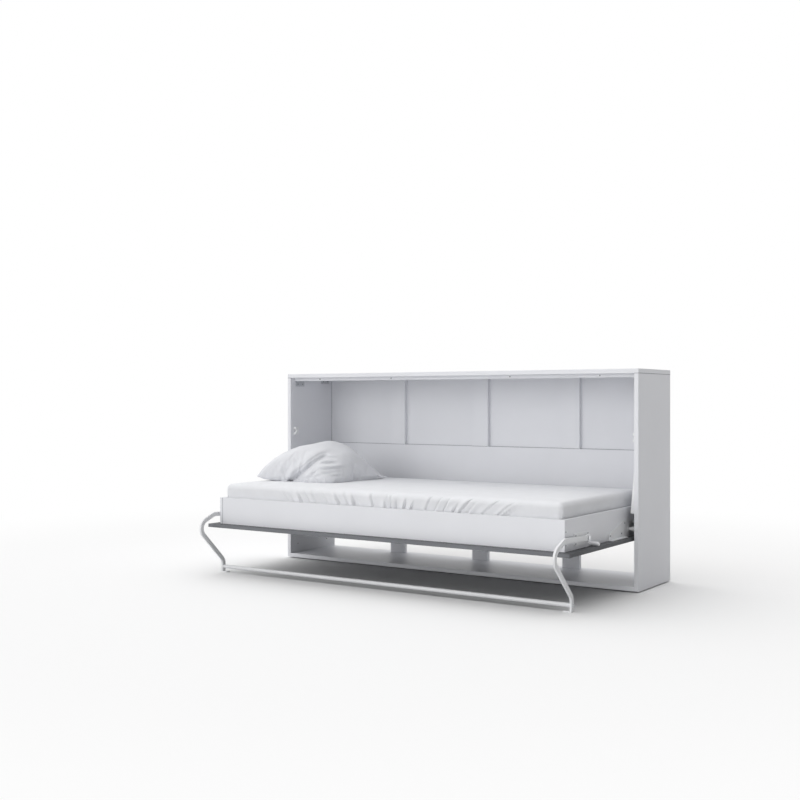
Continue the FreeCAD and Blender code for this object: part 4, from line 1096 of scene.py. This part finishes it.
def lay_floor(settings):
    """A pale floor that keeps the bed's shadow and turns white further out."""
    reach = settings.floor_reach
    corners = [(-reach, -reach, 0), (reach, -reach, 0), (reach, reach, 0), (-reach, reach, 0)]
    material = bpy.data.materials.new("studio_floor")
    material.use_nodes = True
    tree = material.node_tree
    tree.nodes.remove(tree.nodes["Principled BSDF"])
    seen = seen_directly(tree)
    grey = linear(settings.floor_grey)[0]
    inputs = {"Value": seen, "To Min": grey, "To Max": settings.floor_gain}
    tone = add(tree, "ShaderNodeMapRange", inputs).outputs["Result"]
    lit = add(tree, "ShaderNodeBsdfDiffuse", {"Color": tone}).outputs[0]
    white = add(tree, "ShaderNodeEmission", {"Strength": 1.0}).outputs[0]
    coords = add(tree, "ShaderNodeTexCoord").outputs["Object"]
    distance = add(tree, "ShaderNodeVectorMath", {0: coords}, operation="LENGTH").outputs["Value"]
    inputs = {"Value": distance, "From Min": settings.fade_start, "From Max": settings.fade_end}
    far = add(tree, "ShaderNodeMapRange", inputs, interpolation_type="SMOOTHSTEP").outputs["Result"]
    whiteness = add(tree, "ShaderNodeMath", {0: far, 1: seen}, operation="MULTIPLY").outputs[0]
    surface = add(tree, "ShaderNodeMixShader", {0: whiteness, 1: lit, 2: white}).outputs[0]
    tree.links.new(surface, tree.nodes["Material Output"].inputs["Surface"])
    floor = piece_from("studio_floor", corners, [(0, 1, 2, 3)], material)
    return floor


def light(settings, floor):
    """A white room, brightest overhead at the left, and two large soft lamps low at the front and right."""
    world = bpy.data.worlds.new("studio")
    bpy.context.scene.world = world
    world.use_nodes = True
    tree = world.node_tree
    background = tree.nodes["Background"]
    background.inputs["Color"].default_value = (1, 1, 1, 1)
    way = add(tree, "ShaderNodeTexCoord").outputs["Generated"]
    inputs = {0: way, 1: settings.sky_side}
    rise = add(tree, "ShaderNodeVectorMath", inputs, operation="DOT_PRODUCT").outputs["Value"]
    inputs = {"Value": rise, "To Min": settings.sky_low, "To Max": settings.sky_high}
    sky = add(tree, "ShaderNodeMapRange", inputs, interpolation_type="SMOOTHSTEP").outputs["Result"]
    inputs = {"Value": seen_directly(tree), "To Min": sky, "To Max": 1.0}
    strength = add(tree, "ShaderNodeMapRange", inputs).outputs["Result"]
    tree.links.new(strength, background.inputs["Strength"])
    # Both lamps stand for bounce boards, which light the bed and not the floor under it.
    unlit = bpy.data.collections.new("unlit_by_lamps")
    unlit.objects.link(floor)
    unlit.collection_objects[0].light_linking.link_state = "EXCLUDE"
    lamps = (("key", settings.key, settings.key_side), ("fill", settings.fill, settings.fill_side))
    for name, energy, side in lamps:
        lamp = bpy.data.lights.new(name, "SUN")
        lamp.energy = energy
        lamp.angle = settings.lamp_spread
        holder = bpy.data.objects.new(name, lamp)
        holder.rotation_mode = "QUATERNION"
        holder.rotation_quaternion = Vector(side).to_track_quat("Z", "Y")
        holder.light_linking.receiver_collection = unlit
        bpy.context.scene.collection.objects.link(holder)


def aim_camera(settings):
    """A level camera where the photograph was taken from."""
    data = bpy.data.cameras.new("camera")
    data.lens = settings.lens
    data.sensor_width = 36.0
    camera = bpy.data.objects.new("camera", data)
    camera.location = (settings.camera_x, CABINET_FRONT - settings.camera_ahead, settings.camera_height)
    camera.rotation_euler = (math.radians(90), 0, settings.camera_turn)
    bpy.context.scene.collection.objects.link(camera)
    bpy.context.scene.camera = camera
    bpy.context.scene.view_settings.view_transform = "Standard"


class WALLBED_PT_panel(bpy.types.Panel):
    """Lists the pieces in the order they are made"""
    bl_idname = "WALLBED_PT_panel"
    bl_label = "Wall bed"
    bl_space_type = "VIEW_3D"
    bl_region_type = "UI"
    bl_category = "Wall bed"

    def draw(self, context):
        for operator in OPERATORS:
            self.layout.operator(operator.bl_idname)


OPERATORS = (
    WALLBED_OT_boards,
    WALLBED_OT_joints,
    WALLBED_OT_metalwork,
    WALLBED_OT_plastics,
    WALLBED_OT_mattress,
    WALLBED_OT_pillow,
    WALLBED_OT_screw_drives,
    WALLBED_OT_stage,
)
CLASSES = (BedFinishes, BeddingSizes, StageSettings, *OPERATORS, WALLBED_PT_panel)


def register():
    for cls in CLASSES:
        bpy.utils.register_class(cls)
    bpy.types.Scene.bed_finishes = PointerProperty(type=BedFinishes)
    bpy.types.Scene.bedding_sizes = PointerProperty(type=BeddingSizes)
    bpy.types.Scene.stage_settings = PointerProperty(type=StageSettings)


def unregister():
    del bpy.types.Scene.stage_settings
    del bpy.types.Scene.bedding_sizes
    del bpy.types.Scene.bed_finishes
    for cls in reversed(CLASSES):
        bpy.utils.unregister_class(cls)


def main():
    register()
    bpy.ops.wallbed.boards()
    bpy.ops.wallbed.joints()
    bpy.ops.wallbed.metalwork()
    bpy.ops.wallbed.plastics()
    bpy.ops.wallbed.mattress()
    bpy.ops.wallbed.pillow()
    bpy.ops.wallbed.screw_drives()
    bpy.ops.wallbed.stage()


if __name__ == "__main__":
    main()
